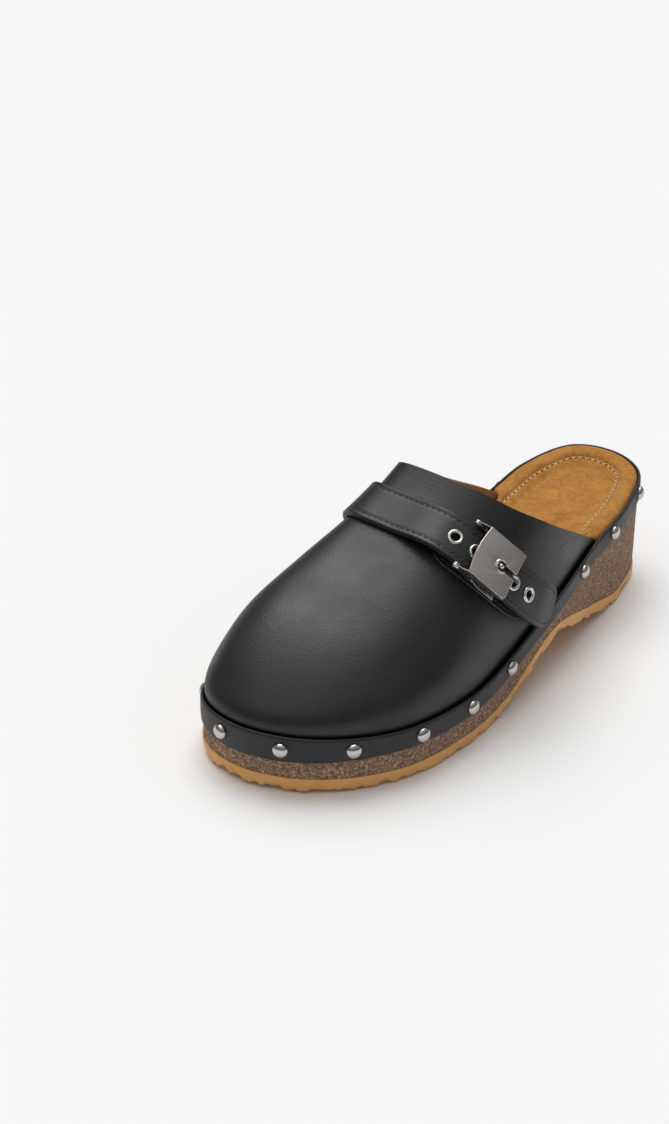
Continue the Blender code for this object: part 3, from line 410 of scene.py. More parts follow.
# ---- node helpers ----
def srgb(code):
    """Linear colour of an sRGB hex code."""
    values = [int(code[i : i + 2], 16) / 255 for i in (0, 2, 4)]
    return [v / 12.92 if v < 0.04045 else ((v + 0.055) / 1.055) ** 2.4 for v in values] + [1]


def add(tree, kind, inputs=None, **settings):
    """Adds a node with its settings. inputs maps its sockets to values or to other nodes' outputs."""
    made = tree.nodes.new(kind)
    for key, value in settings.items():
        setattr(made, key, value)
    for key, value in (inputs or {}).items():
        if isinstance(value, bpy.types.NodeSocket):
            tree.links.new(value, made.inputs[key])
        else:
            made.inputs[key].default_value = value
    return made


def finish_of(name, **values):
    """New material with a Principled shader set to the given values: its tree, its shader and its place."""
    made = bpy.data.materials.new(name)
    made.use_nodes = True
    tree = made.node_tree
    shader = tree.nodes["Principled BSDF"]
    for key, value in values.items():
        shader.inputs[key.replace("_", " ")].default_value = value
    place = add(tree, "ShaderNodeTexCoord").outputs["Object"]
    return made, tree, shader, place


def clouds(tree, place, **values):
    return add(tree, "ShaderNodeTexNoise", {"Vector": place, **values})


def maths(tree, operation, *values):
    return add(tree, "ShaderNodeMath", dict(enumerate(values)), operation=operation)


def bumped(tree, shader, height, strength, distance, **how):
    bump = add(tree, "ShaderNodeBump", {"Height": height, "Strength": strength, "Distance": distance}, **how)
    tree.links.new(bump.outputs["Normal"], shader.inputs["Normal"])


def tinted(tree, shader, share, low, high):
    """Colours a shader between two codes by a node's share."""
    tone = add(tree, "ShaderNodeMix", {0: share, 6: srgb(low), 7: srgb(high)}, data_type="RGBA")
    tree.links.new(tone.outputs[2], shader.inputs["Base Color"])


def glossed(tree, shader, share, least, most):
    """Spreads a shader's roughness between two values by the middle of a noise."""
    gloss = add(tree, "ShaderNodeMapRange", {"Value": share, "From Min": 0.3, "From Max": 0.7,
                                             "To Min": least, "To Max": most})
    tree.links.new(gloss.outputs[0], shader.inputs["Roughness"])


def leather(name, code, worn, roughness, grain_size, depth):
    """Pigmented full-grain cow leather: fine pebbles and pores, and a broad soft gloss."""
    made, tree, shader, place = finish_of(name, Base_Color=srgb(code), Roughness=roughness, IOR=1.5)
    cells = add(tree, "ShaderNodeTexVoronoi", {"Vector": place, "Scale": 1 / grain_size, "Randomness": 1.0},
                feature="SMOOTH_F1")
    pores = clouds(tree, place, Scale=0.35 / grain_size, Detail=6.0, Roughness=0.65)
    height = maths(tree, "ADD", cells.outputs["Distance"], pores.outputs["Fac"])
    bumped(tree, shader, height.outputs[0], 0.55, depth)
    rubs = clouds(tree, place, Scale=45.0, Detail=5.0)
    glossed(tree, shader, rubs.outputs["Fac"], roughness - 0.06, roughness + 0.08)
    tinted(tree, shader, pores.outputs["Fac"], code, worn)
    return made


def make_looks():
    looks = {
        # Smooth box-side leather of the vamp: near black, with a broad satin gloss.
        "vamp": leather("box_calf_black", "121214", "1c1c1f", 0.42, 0.8 * MM, 0.1 * MM),
        # Harness leather of the strap and chape: the same dye, firmer, with a coarser grain.
        "strap": leather("harness_leather_black", "0e0e10", "19191c", 0.44, 0.7 * MM, 0.07 * MM),
        # Thin bag leather of the rand, stretched round the edge and duller.
        "rand": leather("rand_leather_black", "101012", "1b1b1e", 0.48, 0.6 * MM, 0.06 * MM),
        # Undyed pigskin lining, tan and matt, with open pores.
        "lining": leather("pigskin_lining_tan", "a07a4c", "b8935f", 0.72, 0.8 * MM, 0.08 * MM),
        "cork": cork(), "crepe": crepe(), "suede": suede(),
        "black thread": thread("bonded_polyester_black", "1b1b1d", 0.42),
        "cream thread": thread("waxed_linen_cream", "e3c795", 0.65),
        "gunmetal": plated("satin_gunmetal_plate", "d6d0cb", 0.25, 0.03),
        "edge": plated("polished_gunmetal_edge", "cfc8c2", 0.16, 0.02),
        "nickel": plated("bright_nickel_plate", "cfcbc6", 0.14, 0.03),
        "stud": plated("polished_nickel_dome", "c2bfbb", 0.15, 0.03),
        # The prong is bright nickel given a dark colour, 4d4a48: painted shade for where it lies under the
        # plate in the slot.
        "prong": plated("nickel_prong_painted_shade", "4d4a48", 0.18, 0.03),
        "board": board(),
    }
    return looks


def cork():
    """Cork composition: granules of about a millimetre in binder, with bark and cream flecks."""
    made, tree, shader, place = finish_of("cork_composition", Roughness=0.82, IOR=1.45)
    granules = add(tree, "ShaderNodeTexVoronoi", {"Vector": place, "Scale": 1 / (0.85 * MM),
                                                  "Randomness": 1.0})
    fine = add(tree, "ShaderNodeTexVoronoi", {"Vector": place, "Scale": 1 / (0.5 * MM), "Randomness": 1.0})
    pick = add(tree, "ShaderNodeSeparateColor", {"Color": granules.outputs["Color"]})
    tone = add(tree, "ShaderNodeValToRGB", {"Fac": pick.outputs["Red"]})
    stops = ((0.0, "6a5243"), (0.3, "816454"), (0.62, "917460"), (0.86, "a1836e"), (0.95, "b49474"),
             (1.0, "cfae86"))
    shades = tone.color_ramp.elements
    for _ in range(len(stops) - 2):
        shades.new(0.5)
    for shade, (at, code) in zip(shades, stops):
        shade.position = at
        shade.color = srgb(code)
    flecks = add(tree, "ShaderNodeSeparateColor", {"Color": fine.outputs["Color"]})
    is_fleck = maths(tree, "GREATER_THAN", flecks.outputs["Green"], 0.94)
    fleck_share = maths(tree, "MULTIPLY", is_fleck.outputs[0], 0.7)
    speckled = add(tree, "ShaderNodeMix", {0: fleck_share.outputs[0], 6: tone.outputs["Color"],
                                           7: srgb("c9a877")}, data_type="RGBA")
    tree.links.new(speckled.outputs[2], shader.inputs["Base Color"])
    crumbs = maths(tree, "ADD", granules.outputs["Distance"], fine.outputs["Distance"])
    bumped(tree, shader, crumbs.outputs[0], 0.7, 0.25 * MM, invert=True)
    return made


def crepe():
    """Natural crepe rubber, milled in wrinkled sheets: amber, waxy, a little translucent."""
    made, tree, shader, place = finish_of("natural_crepe_rubber", Roughness=0.55, IOR=1.52,
                                          Subsurface_Weight=0.12, Subsurface_Scale=0.002)
    shader.inputs["Subsurface Radius"].default_value = (1.0, 0.5, 0.2)
    cloud = clouds(tree, place, Scale=120.0, Detail=8.0, Roughness=0.6)
    wrinkle = clouds(tree, place, Scale=420.0, Detail=6.0, Roughness=0.7, Distortion=0.6)
    tinted(tree, shader, cloud.outputs["Fac"], "d8964a", "f2bd78")
    bumped(tree, shader, wrinkle.outputs["Fac"], 0.6, 0.35 * MM)
    return made


def suede():
    """Split-leather suede: short nap brushed in patches, with a soft sheen."""
    made, tree, shader, place = finish_of("split_suede_tan", Roughness=0.95, IOR=1.4, Sheen_Weight=0.35,
                                          Sheen_Roughness=0.45)
    shader.inputs["Sheen Tint"].default_value = srgb("f0c585")
    fibres = clouds(tree, place, Scale=1500.0, Detail=4.0, Roughness=0.8)
    brushed = clouds(tree, place, Scale=170.0, Detail=7.0, Roughness=0.72, Distortion=0.8)
    both = add(tree, "ShaderNodeMix", {0: 0.45, 2: fibres.outputs["Fac"], 3: brushed.outputs["Fac"]},
               data_type="FLOAT")
    spread = add(tree, "ShaderNodeMapRange", {"Value": both.outputs[0], "From Min": 0.36, "From Max": 0.64})
    tinted(tree, shader, spread.outputs[0], "8e5a1e", "d2964a")
    bumped(tree, shader, both.outputs[0], 0.8, 0.4 * MM)
    return made


def thread(name, code, roughness):
    """Twisted three-ply thread: a diagonal twist seen as fine ridges."""
    made, tree, shader, place = finish_of(name, Base_Color=srgb(code), Roughness=roughness, Sheen_Weight=0.15)
    twist = add(tree, "ShaderNodeTexWave", {"Vector": place, "Scale": 900.0, "Distortion": 1.0},
                bands_direction="DIAGONAL")
    bumped(tree, shader, twist.outputs["Fac"], 0.5, 0.1 * MM)
    return made


def plated(name, code, roughness, spread):
    """Plated metal: mirror-like under fine handling marks."""
    made, tree, shader, place = finish_of(name, Base_Color=srgb(code), Metallic=1.0, Roughness=roughness)
    marks = clouds(tree, place, Scale=700.0, Detail=6.0, Roughness=0.7)
    glossed(tree, shader, marks.outputs["Fac"], roughness - spread, roughness + spread)
    bumped(tree, shader, marks.outputs["Fac"], 0.06, 0.02 * MM)
    return made


def board():
    """Pressed cellulose fibre board: pale, matt and flecked."""
    made, tree, shader, place = finish_of("cellulose_board", Roughness=0.9)
    flecks = clouds(tree, place, Scale=900.0, Detail=4.0)
    tinted(tree, shader, flecks.outputs["Fac"], "9c8562", "c9b48e")
    return made


# ---- repeating things, by geometry nodes ----
def new_tree(name, sockets):
    """Geometry tree with named inputs: the tree, its input node and its sockets' identifiers."""
    tree = bpy.data.node_groups.new(name, "GeometryNodeTree")
    tree.interface.new_socket("Geometry", in_out="OUTPUT", socket_type="NodeSocketGeometry")
    names = {}
    for label, kind, value in (("Geometry", "NodeSocketGeometry", None), *sockets):
        made = tree.interface.new_socket(label, in_out="INPUT", socket_type=kind)
        if value is not None:
            made.default_value = value
        names[label] = made.identifier
    return tree, tree.nodes.new("NodeGroupInput"), names


def close_tree(tree, given, instances):
    """Ends a tree with real, smooth meshes in the input material."""
    real = add(tree, "GeometryNodeRealizeInstances", {0: instances})
    smooth = add(tree, "GeometryNodeSetShadeSmooth", {"Geometry": real.outputs[0]})
    dressed = add(tree, "GeometryNodeSetMaterial", {"Geometry": smooth.outputs[0],
                                                    "Material": given.outputs["Material"]})
    out = tree.nodes.new("NodeGroupOutput")
    tree.links.new(dressed.outputs[0], out.inputs[0])


def stitch_tree():
    """Stitches along a path: arched lengths of thread, each dipping into the leather at both ends."""
    tree, given, names = new_tree("stitch_run", (
        ("Pitch", "NodeSocketFloat", 3 * MM), ("Stitch Length", "NodeSocketFloat", 2.2 * MM),
        ("Thread Radius", "NodeSocketFloat", 0.28 * MM), ("Slant", "NodeSocketFloat", 0.0),
        ("Uneven", "NodeSocketFloat", 0.06), ("Seed", "NodeSocketInt", 1),
        ("Material", "NodeSocketMaterial", None)))
    line = add(tree, "GeometryNodeMeshToCurve", {"Mesh": given.outputs["Geometry"]})
    spaced = add(tree, "GeometryNodeResampleCurve", {"Curve": line.outputs[0],
                                                     "Length": given.outputs["Pitch"]},
                 mode="LENGTH")
    half = maths(tree, "MULTIPLY", given.outputs["Stitch Length"], 0.5)
    back = maths(tree, "MULTIPLY", half.outputs[0], -1.0)
    sunk = maths(tree, "MULTIPLY", given.outputs["Thread Radius"], -1.3)
    arch = maths(tree, "MULTIPLY", given.outputs["Thread Radius"], 2.0)
    start = add(tree, "ShaderNodeCombineXYZ", {"X": back.outputs[0], "Z": sunk.outputs[0]})
    top = add(tree, "ShaderNodeCombineXYZ", {"Z": arch.outputs[0]})
    end = add(tree, "ShaderNodeCombineXYZ", {"X": half.outputs[0], "Z": sunk.outputs[0]})
    bow = add(tree, "GeometryNodeCurveQuadraticBezier", {"Resolution": 6, "Start": start.outputs[0],
                                                          "Middle": top.outputs[0], "End": end.outputs[0]})
    round_thread = add(tree, "GeometryNodeCurvePrimitiveCircle", {"Resolution": 7,
                                                                  "Radius": given.outputs["Thread Radius"]})
    stitch = add(tree, "GeometryNodeCurveToMesh", {"Curve": bow.outputs[0],
                                                   "Profile Curve": round_thread.outputs[0],
                                                   "Fill Caps": True})
    tangent = add(tree, "GeometryNodeInputTangent")
    out = add(tree, "GeometryNodeInputNamedAttribute", {"Name": "out"}, data_type="FLOAT_VECTOR")
    facing = add(tree, "FunctionNodeAxesToRotation", {0: out.outputs[0], 1: tangent.outputs[0]},
                 primary_axis="Z", secondary_axis="X")
    number = add(tree, "GeometryNodeInputIndex")
    parity = maths(tree, "MODULO", number.outputs[0], 2.0)
    way = maths(tree, "MULTIPLY_ADD", parity.outputs[0], 2.0, -1.0)
    slant = maths(tree, "MULTIPLY", way.outputs[0], given.outputs["Slant"])
    most = given.outputs["Uneven"]
    least = maths(tree, "MULTIPLY", most, -1.0)
    wobble = add(tree, "FunctionNodeRandomValue", {2: least.outputs[0], 3: most,
                                                   "Seed": given.outputs["Seed"]},
                 data_type="FLOAT")
    turn = maths(tree, "ADD", slant.outputs[0], wobble.outputs[1])
    turn_axis = add(tree, "ShaderNodeCombineXYZ", {"Z": turn.outputs[0]})
    spin = add(tree, "FunctionNodeEulerToRotation", {0: turn_axis.outputs[0]})
    rotation = add(tree, "FunctionNodeRotateRotation", {0: facing.outputs[0], 1: spin.outputs[0]},
                   rotation_space="LOCAL")
    placed = add(tree, "GeometryNodeInstanceOnPoints", {"Points": spaced.outputs[0],
                                                        "Instance": stitch.outputs[0],
                                                        "Rotation": rotation.outputs[0]})
    close_tree(tree, given, placed.outputs[0])
    return tree, names


def fitting_tree():
    """Metal fittings set on points: one copy of a head on each, turned a little at random."""
    tree, given, names = new_tree("set_fittings", (
        ("Head", "NodeSocketObject", None), ("Size", "NodeSocketFloat", 1.0), ("Seed", "NodeSocketInt", 1),
        ("Material", "NodeSocketMaterial", None)))
    head = add(tree, "GeometryNodeObjectInfo", {"Object": given.outputs["Head"]})
    out = add(tree, "GeometryNodeInputNamedAttribute", {"Name": "out"}, data_type="FLOAT_VECTOR")
    side = add(tree, "GeometryNodeInputNamedAttribute", {"Name": "side"}, data_type="FLOAT_VECTOR")
    facing = add(tree, "FunctionNodeAxesToRotation", {0: out.outputs[0], 1: side.outputs[0]},
                 primary_axis="Z", secondary_axis="X")
    roll = add(tree, "FunctionNodeRandomValue", {2: -math.pi, 3: math.pi, "Seed": given.outputs["Seed"]},
               data_type="FLOAT")
    roll_axis = add(tree, "ShaderNodeCombineXYZ", {"Z": roll.outputs[1]})
    spin = add(tree, "FunctionNodeEulerToRotation", {0: roll_axis.outputs[0]})
    rotation = add(tree, "FunctionNodeRotateRotation", {0: facing.outputs[0], 1: spin.outputs[0]},
                   rotation_space="LOCAL")
    placed = add(tree, "GeometryNodeInstanceOnPoints", {"Points": given.outputs["Geometry"],
                                                        "Instance": head.outputs["Geometry"],
                                                        "Rotation": rotation.outputs[0],
                                                        "Scale": given.outputs["Size"]})
    close_tree(tree, given, placed.outputs[0])
    return tree, names


def grow(name, tree_and_names, points, fields, values, chain=True, closed=False):
    """Runs a geometry tree on points with vector attributes, and returns its result as a plain piece."""
    tree, names = tree_and_names
    base = bpy.data.meshes.new(name + "_line")
    links = [(i, i + 1) for i in range(len(points) - 1)] if chain else []
    if closed:
        links.append((len(points) - 1, 0))
    base.from_pydata([tuple(p) for p in points], links, [])
    for field, vectors in fields.items():
        base.attributes.new(field, "FLOAT_VECTOR", "POINT").data.foreach_set("vector", np.ravel(vectors))
    carrier = bpy.data.objects.new(name + "_line", base)
    bpy.context.scene.collection.objects.link(carrier)
    grower = carrier.modifiers.new("grow", "NODES")
    grower.node_group = tree
    for label, value in values.items():
        grower[names[label]] = value
    bpy.context.view_layer.update()
    graph = bpy.context.evaluated_depsgraph_get()
    mesh = bpy.data.meshes.new_from_object(carrier.evaluated_get(graph))
    bpy.data.objects.remove(carrier)
    made = bpy.data.objects.new(name, mesh)
    bpy.context.scene.collection.objects.link(made)
    return made


# ---- sole ----
def outsole_height(y, inward):
    return along(TREAD, y)


def heel_share(y):
    return smoothstep(-10 * MM, 50 * MM, y)


def sock_top(y, inward):
    heel = heel_share(y)
    rim = rand_top(y) - 1.0 * MM + 2.2 * MM * heel
    return rim - (0.8 * MM + 3.7 * MM * heel) * smoothstep(RIM_INNER, DISH_EDGE, inward)


def ring_distance(ring_points):
    """Distance run round a ring, and its length."""
    step = np.linalg.norm(np.roll(ring_points, -1, 0) - ring_points, axis=1)
    return np.concatenate([[0], np.cumsum(step)[:-1]]), step.sum()


def make_outsole(look):
    """Crepe sheet: a smooth upper edge, a torn, scalloped lower one and a wrinkled tread."""
    edge = -OUTSOLE_LEDGE
    plan = ring(edge, outsole_height)
    torn = np.clip(grain(plan, 5.5 * MM, 1) + 0.55 * grain(plan, 2.2 * MM, 2), -0.35, 0.9) + 0.35
    waves = grain(plan, 16 * MM, 3)
    rows = [ring(edge + 2 * MM, outsole_height, 0), ring(edge + 3 * MM, outsole_height, 0)]
    for share in (0.25, 0.5, 0.75, 0.9, 1.0):
        tread = ring(edge + 3.5 * MM, outsole_height, share)
        tread[:, 2] += 0.35 * MM * (1 + grain(tread, 4 * MM, 4)) * smoothstep(0, 0.4, share)
        rows.append(tread)
    for inset, low in ((1.6, 0.3), (0.9, 0.75), (0.5, 1.0)):
        lip = ring(edge + inset * MM, outsole_height)
        lip[:, 2] += 0.1 * MM + low * torn * TORN_DEPTH
        rows.append(lip)
    for share in np.linspace(0.0, 1.0, 11):
        wall = ring(edge + 0.35 * MM * (1 - smoothstep(0, 0.35, share)), outsole_height)
        torn_edge = 0.25 * MM + TORN_DEPTH * torn
        wall[:, 2] += torn_edge + share * (OUTSOLE_THICKNESS - torn_edge)
        push = 0.22 * MM * grain(wall, 3.5 * MM, 5) + 0.25 * MM * waves - 0.5 * MM * torn * (1 - share) ** 2
        wall[:, :2] += outward(plan[:, :2]) * push[:, None]
        rows.append(wall)
    for inset in (0.5, 2.0):
        rows.append(ring(edge + inset * MM, lambda y, inward: outsole_height(y, inward) + OUTSOLE_THICKNESS))
    rows.append(ring(edge + 2 * MM, lambda y, inward: outsole_height(y, inward) + OUTSOLE_THICKNESS, 0))
    rows = np.array(rows)
    rows[..., 2] = np.maximum(rows[..., 2], along(TREAD, rows[..., 1]))
    return net("crepe_sole", rows, look, wrap_across=True, weld=0.002 * MM)


def make_cork(look):
    """Cork block: a ground wall with granules standing a little proud and a few torn out."""
    def bottom(y, inward):
        return along(TREAD, y) + OUTSOLE_THICKNESS

    def top(y, inward):
        return along(RAND_BOTTOM, y) + CORK_UNDER_RAND

    base, crown = ring(0, bottom), ring(0, top)
    normals = np.column_stack([outward(base[:, :2]), np.zeros(len(base))])
    rows = [ring(0, bottom, 0), ring(4 * MM, bottom)]
    for share in np.linspace(0, 1, 32):
        wall = base + (crown - base) * share
        crumbs = 0.14 * MM * grain(wall, 1.1 * MM, 6) + 0.1 * MM * grain(wall, 5 * MM, 7)
        rows.append(wall + normals * crumbs[:, None])
    rows += [ring(4 * MM, top), ring(4 * MM, top, 0)]
    return net("cork_block", rows, look, wrap_across=True, weld=0.002 * MM)


def make_footbed(looks, stitches):
    """Suede footbed: lasted over the heel's rim, dished, and whip-stitched round the padded middle."""
    lasted_out = RAND_INNER + 0.2 * MM

    def inset(points):
        """Edge of the suede: inside the lining at the front, out to the rand behind the vamp's ends."""
        vamp_end = np.where(points[:, 0] > 0, TOPLINE[-1][1], TOPLINE[0][1]) * MM
        return SUEDE_TUCKED + (lasted_out - SUEDE_TUCKED) * smoothstep(*SUEDE_OPENS, points[:, 1] - vamp_end)

    def skirt(y, inward):
        low = along(RAND_BOTTOM, y) + 2 * MM
        lasted = smoothstep(*HEEL_LASTING, y)
        return (sock_top(y, inward) - SUEDE_ROLL - 0.6 * MM) * (1 - lasted) + low * lasted

    def face(y, inward):
        """Suede face, with the seam pulled in and the pad inside it standing up."""
        pad = 0.7 * MM * smoothstep(SEAM_INSET, SEAM_INSET + 2.5 * MM, inward)
        return sock_top(y, inward) + pad

    rows = [ring(lambda points: inset(points) + 3 * MM, skirt, 0.9), ring(inset, skirt)]
    for turn in np.linspace(0, 90, 8):
        s, c = math.sin(math.radians(turn)), math.cos(math.radians(turn))
        rows.append(ring(lambda points: inset(points) + SUEDE_ROLL * (1 - c),
                         lambda y, inward: face(y, inward) - SUEDE_ROLL * (1 - s)))
    # From the roll inwards by the distance from the outline, fine near the seam.
    inner = np.concatenate([np.linspace(4.4, 8.2, 6), np.linspace(8.5, 10.7, 12),
                            np.linspace(11.4, 15, 6)]) * MM
    for distance in inner:
        rows.append(ring(lambda points: np.maximum(inset(points) + SUEDE_ROLL + 0.2 * MM, distance), face))
    for share in np.linspace(0.9, 0, 7):
        rows.append(ring(15 * MM, face, share))
    rows = np.array(rows)
    round_ring = ring(SEAM_INSET, face)
    distance, total = ring_distance(round_ring)
    teeth = round(total / SEAM_TOOTH)
    wave = np.sin(2 * np.pi * teeth * distance / total)
    depth_at = np.zeros(rows.shape[:2])
    for k in range(len(rows)):
        off = np.linalg.norm(rows[k][:, :2] - round_ring[:, :2], axis=1)
        side = np.sign(np.linalg.norm(rows[k][:, :2] - ring(0, face)[:, :2], axis=1)
                       - np.linalg.norm(round_ring[:, :2] - ring(0, face)[:, :2], axis=1))
        depth_at[k] = 0.75 * MM * np.exp(-(((off * side - 0.45 * MM * wave) / (0.75 * MM)) ** 2))
    rows[..., 2] -= depth_at * (np.arange(len(rows)) > 9)[:, None]
    rows[..., 2] += 0.12 * MM * grain(rows, 7 * MM, 8)
    bed = net("suede_footbed", rows, looks["suede"], wrap_across=True, caps=False, weld=0.002 * MM)
    # The whip stitch lies over the seam, from just inside the mouth round the heel.
    line = ring(SEAM_INSET, lambda y, inward: face(y, inward) - 0.35 * MM, levels=900)
    line = np.roll(line, len(line) // 2 - line[:, 1].argmax(), 0)
    line = line[line[:, 1] > -20 * MM] + SHIFT
    seam = grow("footbed_whip_stitch", stitches, line, {"out": np.tile([0.0, 0.0, 1.0], (len(line), 1))}, {
        "Pitch": 1.65 * MM, "Stitch Length": 2.5 * MM, "Thread Radius": 0.27 * MM, "Slant": 0.9,
        "Uneven": 0.1, "Seed": 3, "Material": looks["cream thread"]})
    return bed, seam


def make_rand(look):
    """Rand: a strip of thin leather pulled round the edge, its lower edge trimmed by hand."""
    profile = ((RAND_INNER, 0.0), (-0.2 * MM, 0.0), (-0.62 * MM, 0.03), (-0.8 * MM, 0.09), (-0.88 * MM, 0.2),
               (-0.92 * MM, 0.35), (-0.92 * MM, 0.5), (-0.9 * MM, 0.65), (-0.86 * MM, 0.8), (-0.8 * MM, 0.9),
               (-0.6 * MM, 0.965), (-0.3 * MM, 1.0), (0.1 * MM, 1.01), (0.4 * MM, 0.99), (RAND_INNER, 0.94),
               (RAND_INNER, 0.5))
    plan = ring(0, outsole_height)
    trim = 0.38 * MM * grain(plan, 9 * MM, 9) + 0.15 * MM * grain(plan, 3 * MM, 10)
    pull = grain(plan, 7 * MM, 11)
    normals = np.column_stack([outward(plan[:, :2]), np.zeros(len(plan))])
    rows = []
    for inset, share in profile:
        level = ring(inset, lambda y, inward: along(RAND_BOTTOM, y) + along(RAND_HEIGHT, y) * share)
        level[:, 2] += trim * (1 - share)
        rows.append(level + normals * (0.14 * MM * pull * math.sin(math.pi * min(share, 1)))[:, None])
    return net("leather_rand", rows, look, wrap_across=True, wrap_along=True, edges=60)


# ---- upper ----
def upper_grid(collar_steps=56, side_steps=64, toe_steps=40, up_steps=64, margin_steps=4):
    """Foot y and signed angle of every point of the upper, in rows from its foot to the crest."""
    angles = np.linspace(90, 0, up_steps)
    patch_y = float(along(TOPLINE, 0)) * MM - COLLAR_PATCH
    toe_end = TOE_Y + TOE_REACH
    reach = (toe_end - UPPER_TIP_Y) * (1 - np.cos(np.linspace(np.pi / 2, 0, toe_steps)))
    front = list(np.linspace(patch_y, toe_end, side_steps)) + list(UPPER_TIP_Y + reach)[1:]
    shares = np.linspace(1, 0, collar_steps)[:-1]

    def row(ys, side):
        drop = rand_top(ys[0]) - BASE_BELOW_RAND - along(RAND_BOTTOM, ys[0]) - MARGIN
        lowest = 90 + math.degrees(drop / along(CREST_HEIGHT, ys[0]))
        margin = np.linspace(lowest, 90, margin_steps + 1)[:-1]
        foot = np.concatenate([np.full(margin_steps, ys[0]), ys])
        return foot, np.maximum(np.concatenate([margin, angles]), 1e-4) * side

    def half(side):
        collar = along(TOPLINE, angles * side) * MM
        back = [row(patch_y + (collar - patch_y) * share, side) for share in shares]
        return back + [row(np.full(up_steps, y), side) for y in front]

    rows = half(-1) + half(1)[-2::-1]
    return np.array([r[0] for r in rows]), np.array([r[1] for r in rows])


def make_upper(looks):
    """Vamp and lining: two skins over one last, the vamp thicker and both trimmed at the topline."""
    y, angle = upper_grid()
    points, normals, _, _ = upper_frame(y, angle)
    tip = len(y) // 2
    normals[tip, -1] = normals[tip - 1, -1]  # the sides meet at the tip's crest, which leaves it no slope
    # Round the front the vamp bellies out over the groove behind the rand.
    low_down = np.exp(-(((np.abs(angle) - BELLY_ANGLE) / BELLY_SPREAD) ** 2))
    belly = BELLY * low_down * (1 - smoothstep(*BELLY_FADE, y))
    vamp = net("leather_vamp", points + normals * belly[..., None], looks["vamp"], weld=0.12 * MM)
    thicken(vamp, LEATHER, 0.45 * MM)
    depth = LINING_DEPTH_TOE + (LINING_DEPTH - LINING_DEPTH_TOE) * smoothstep(*PUFF_FADE, y)
    under = points - normals * depth[..., None]
    lining = net("lining", under, looks["lining"], weld=0.03 * MM)
    thicken(lining, LINING, 0.25 * MM, 2)
    return vamp, lining


# ---- strap ----
def strap_middle(angle):
    share = np.abs(angle) / 90
    return STRAP_Y + np.where(angle > 0, SWEEP_OUTER * share**POWER_OUTER, SWEEP_INNER * share**POWER_INNER)


def strap_frame(angle):
    """Point, along, across, normal of the strap's middle line, and the way across in angle and foot y."""
    step = 0.05
    y = strap_middle(angle)
    point, normal, turn, slide = upper_frame(y, angle)
    ahead = upper_at(strap_middle(angle + step), angle + step)
    behind = upper_at(strap_middle(angle - step), angle - step)
    run = unit(ahead - behind)
    across = np.cross(normal, run)
    a, b, c = (turn * turn).sum(-1), (turn * slide).sum(-1), (slide * slide).sum(-1)
    p, q = (turn * across).sum(-1), (slide * across).sum(-1)
    return point, run, across, normal, (c * p - b * q) / (a * c - b * b), (a * q - b * p) / (a * c - b * b)


def angle_below_base(y, drop):
    return 90 + np.degrees(drop / along(CREST_HEIGHT, y))


def tucked_angle(y):
    return angle_below_base(y, along(RAND_HEIGHT, y) - BASE_BELOW_RAND - 2 * MARGIN)


def band_point(angle, width, lift, tuck=None):
    """Points on the upper, width across from the strap's middle line and lift above the upper."""
    *_, d_angle, d_y = strap_frame(angle)
    y, at = strap_middle(angle) + d_y * width, angle + d_angle * width
    if tuck:
        *_, end_d_angle, end_d_y = strap_frame(np.array(float(tuck)))
        wanted = math.copysign(1, tuck) * tucked_angle(strap_middle(np.array(float(tuck))) + end_d_y * width)
        share = smoothstep(abs(tuck) - 30, abs(tuck), math.copysign(1, tuck) * angle)
        at = at + (wanted - tuck - end_d_angle * width) * share
    point, normal, _, _ = upper_frame(y, at)
    return point + normal * lift[..., None], normal


def backing_lift(angle):
    over_rand = RAND_GROOVE + 1.5 * MM + GAP + 0.2 * MM
    up = GAP + (BACKING_LIFT - GAP) * smoothstep(8, 30, angle)
    return up + (over_rand - BACKING_LIFT) * smoothstep(74, 86, angle)


def strap_lift(angle):
    lying = backing_lift(angle) + BACKING + GAP
    return GAP + (lying - GAP) * (1 - smoothstep(TUCK_START, TUCK_END, -angle))


def pared(full, sign):
    return lambda angle: full + (SKIVED - full) * smoothstep(TUCK_START, TUCK_END, sign * angle)


def half_width(angle, half, start, end, tip_start, tip_end):
    """Half width of a band, narrowed to a rounded point over a tip of that many degrees."""
    made = np.full(np.shape(angle), half)
    for edge, reach in ((start, tip_start), (end, tip_end)):
        if reach:
            share = np.clip(1 - np.abs(angle - edge) / reach, 0, 1)
            made = np.minimum(made, half * (0.45 + 0.55 * np.sqrt(1 - share**2)))
    return made


def section(half, thickness, groove):
    """Cross-section of a band: (width, lift) pairs round it, with round edges and stitch channels."""
    r = 0.42 * thickness
    flat = np.linspace(-1, 1, 33)[:, None] * (half - r)
    top = np.column_stack([flat, np.full(33, thickness)])
    channel = np.exp(-(((np.abs(top[:, 0]) - (half - THREAD_INSET)) / (0.55 * MM)) ** 2))
    top[:, 1] += 0.1 * MM * (1 - (top[:, 0] / half) ** 2) - groove * channel
    turn = np.radians(np.linspace(80, -80, 7))
    right = np.column_stack([half - r + r * np.cos(turn), thickness / 2 + (thickness / 2) * np.sin(turn)])
    bottom = np.column_stack([np.linspace(1, -1, 5) * (half - r), np.zeros(5)])
    left = right[::-1] * (-1, 1)
    return np.vstack([top, right, bottom, left])


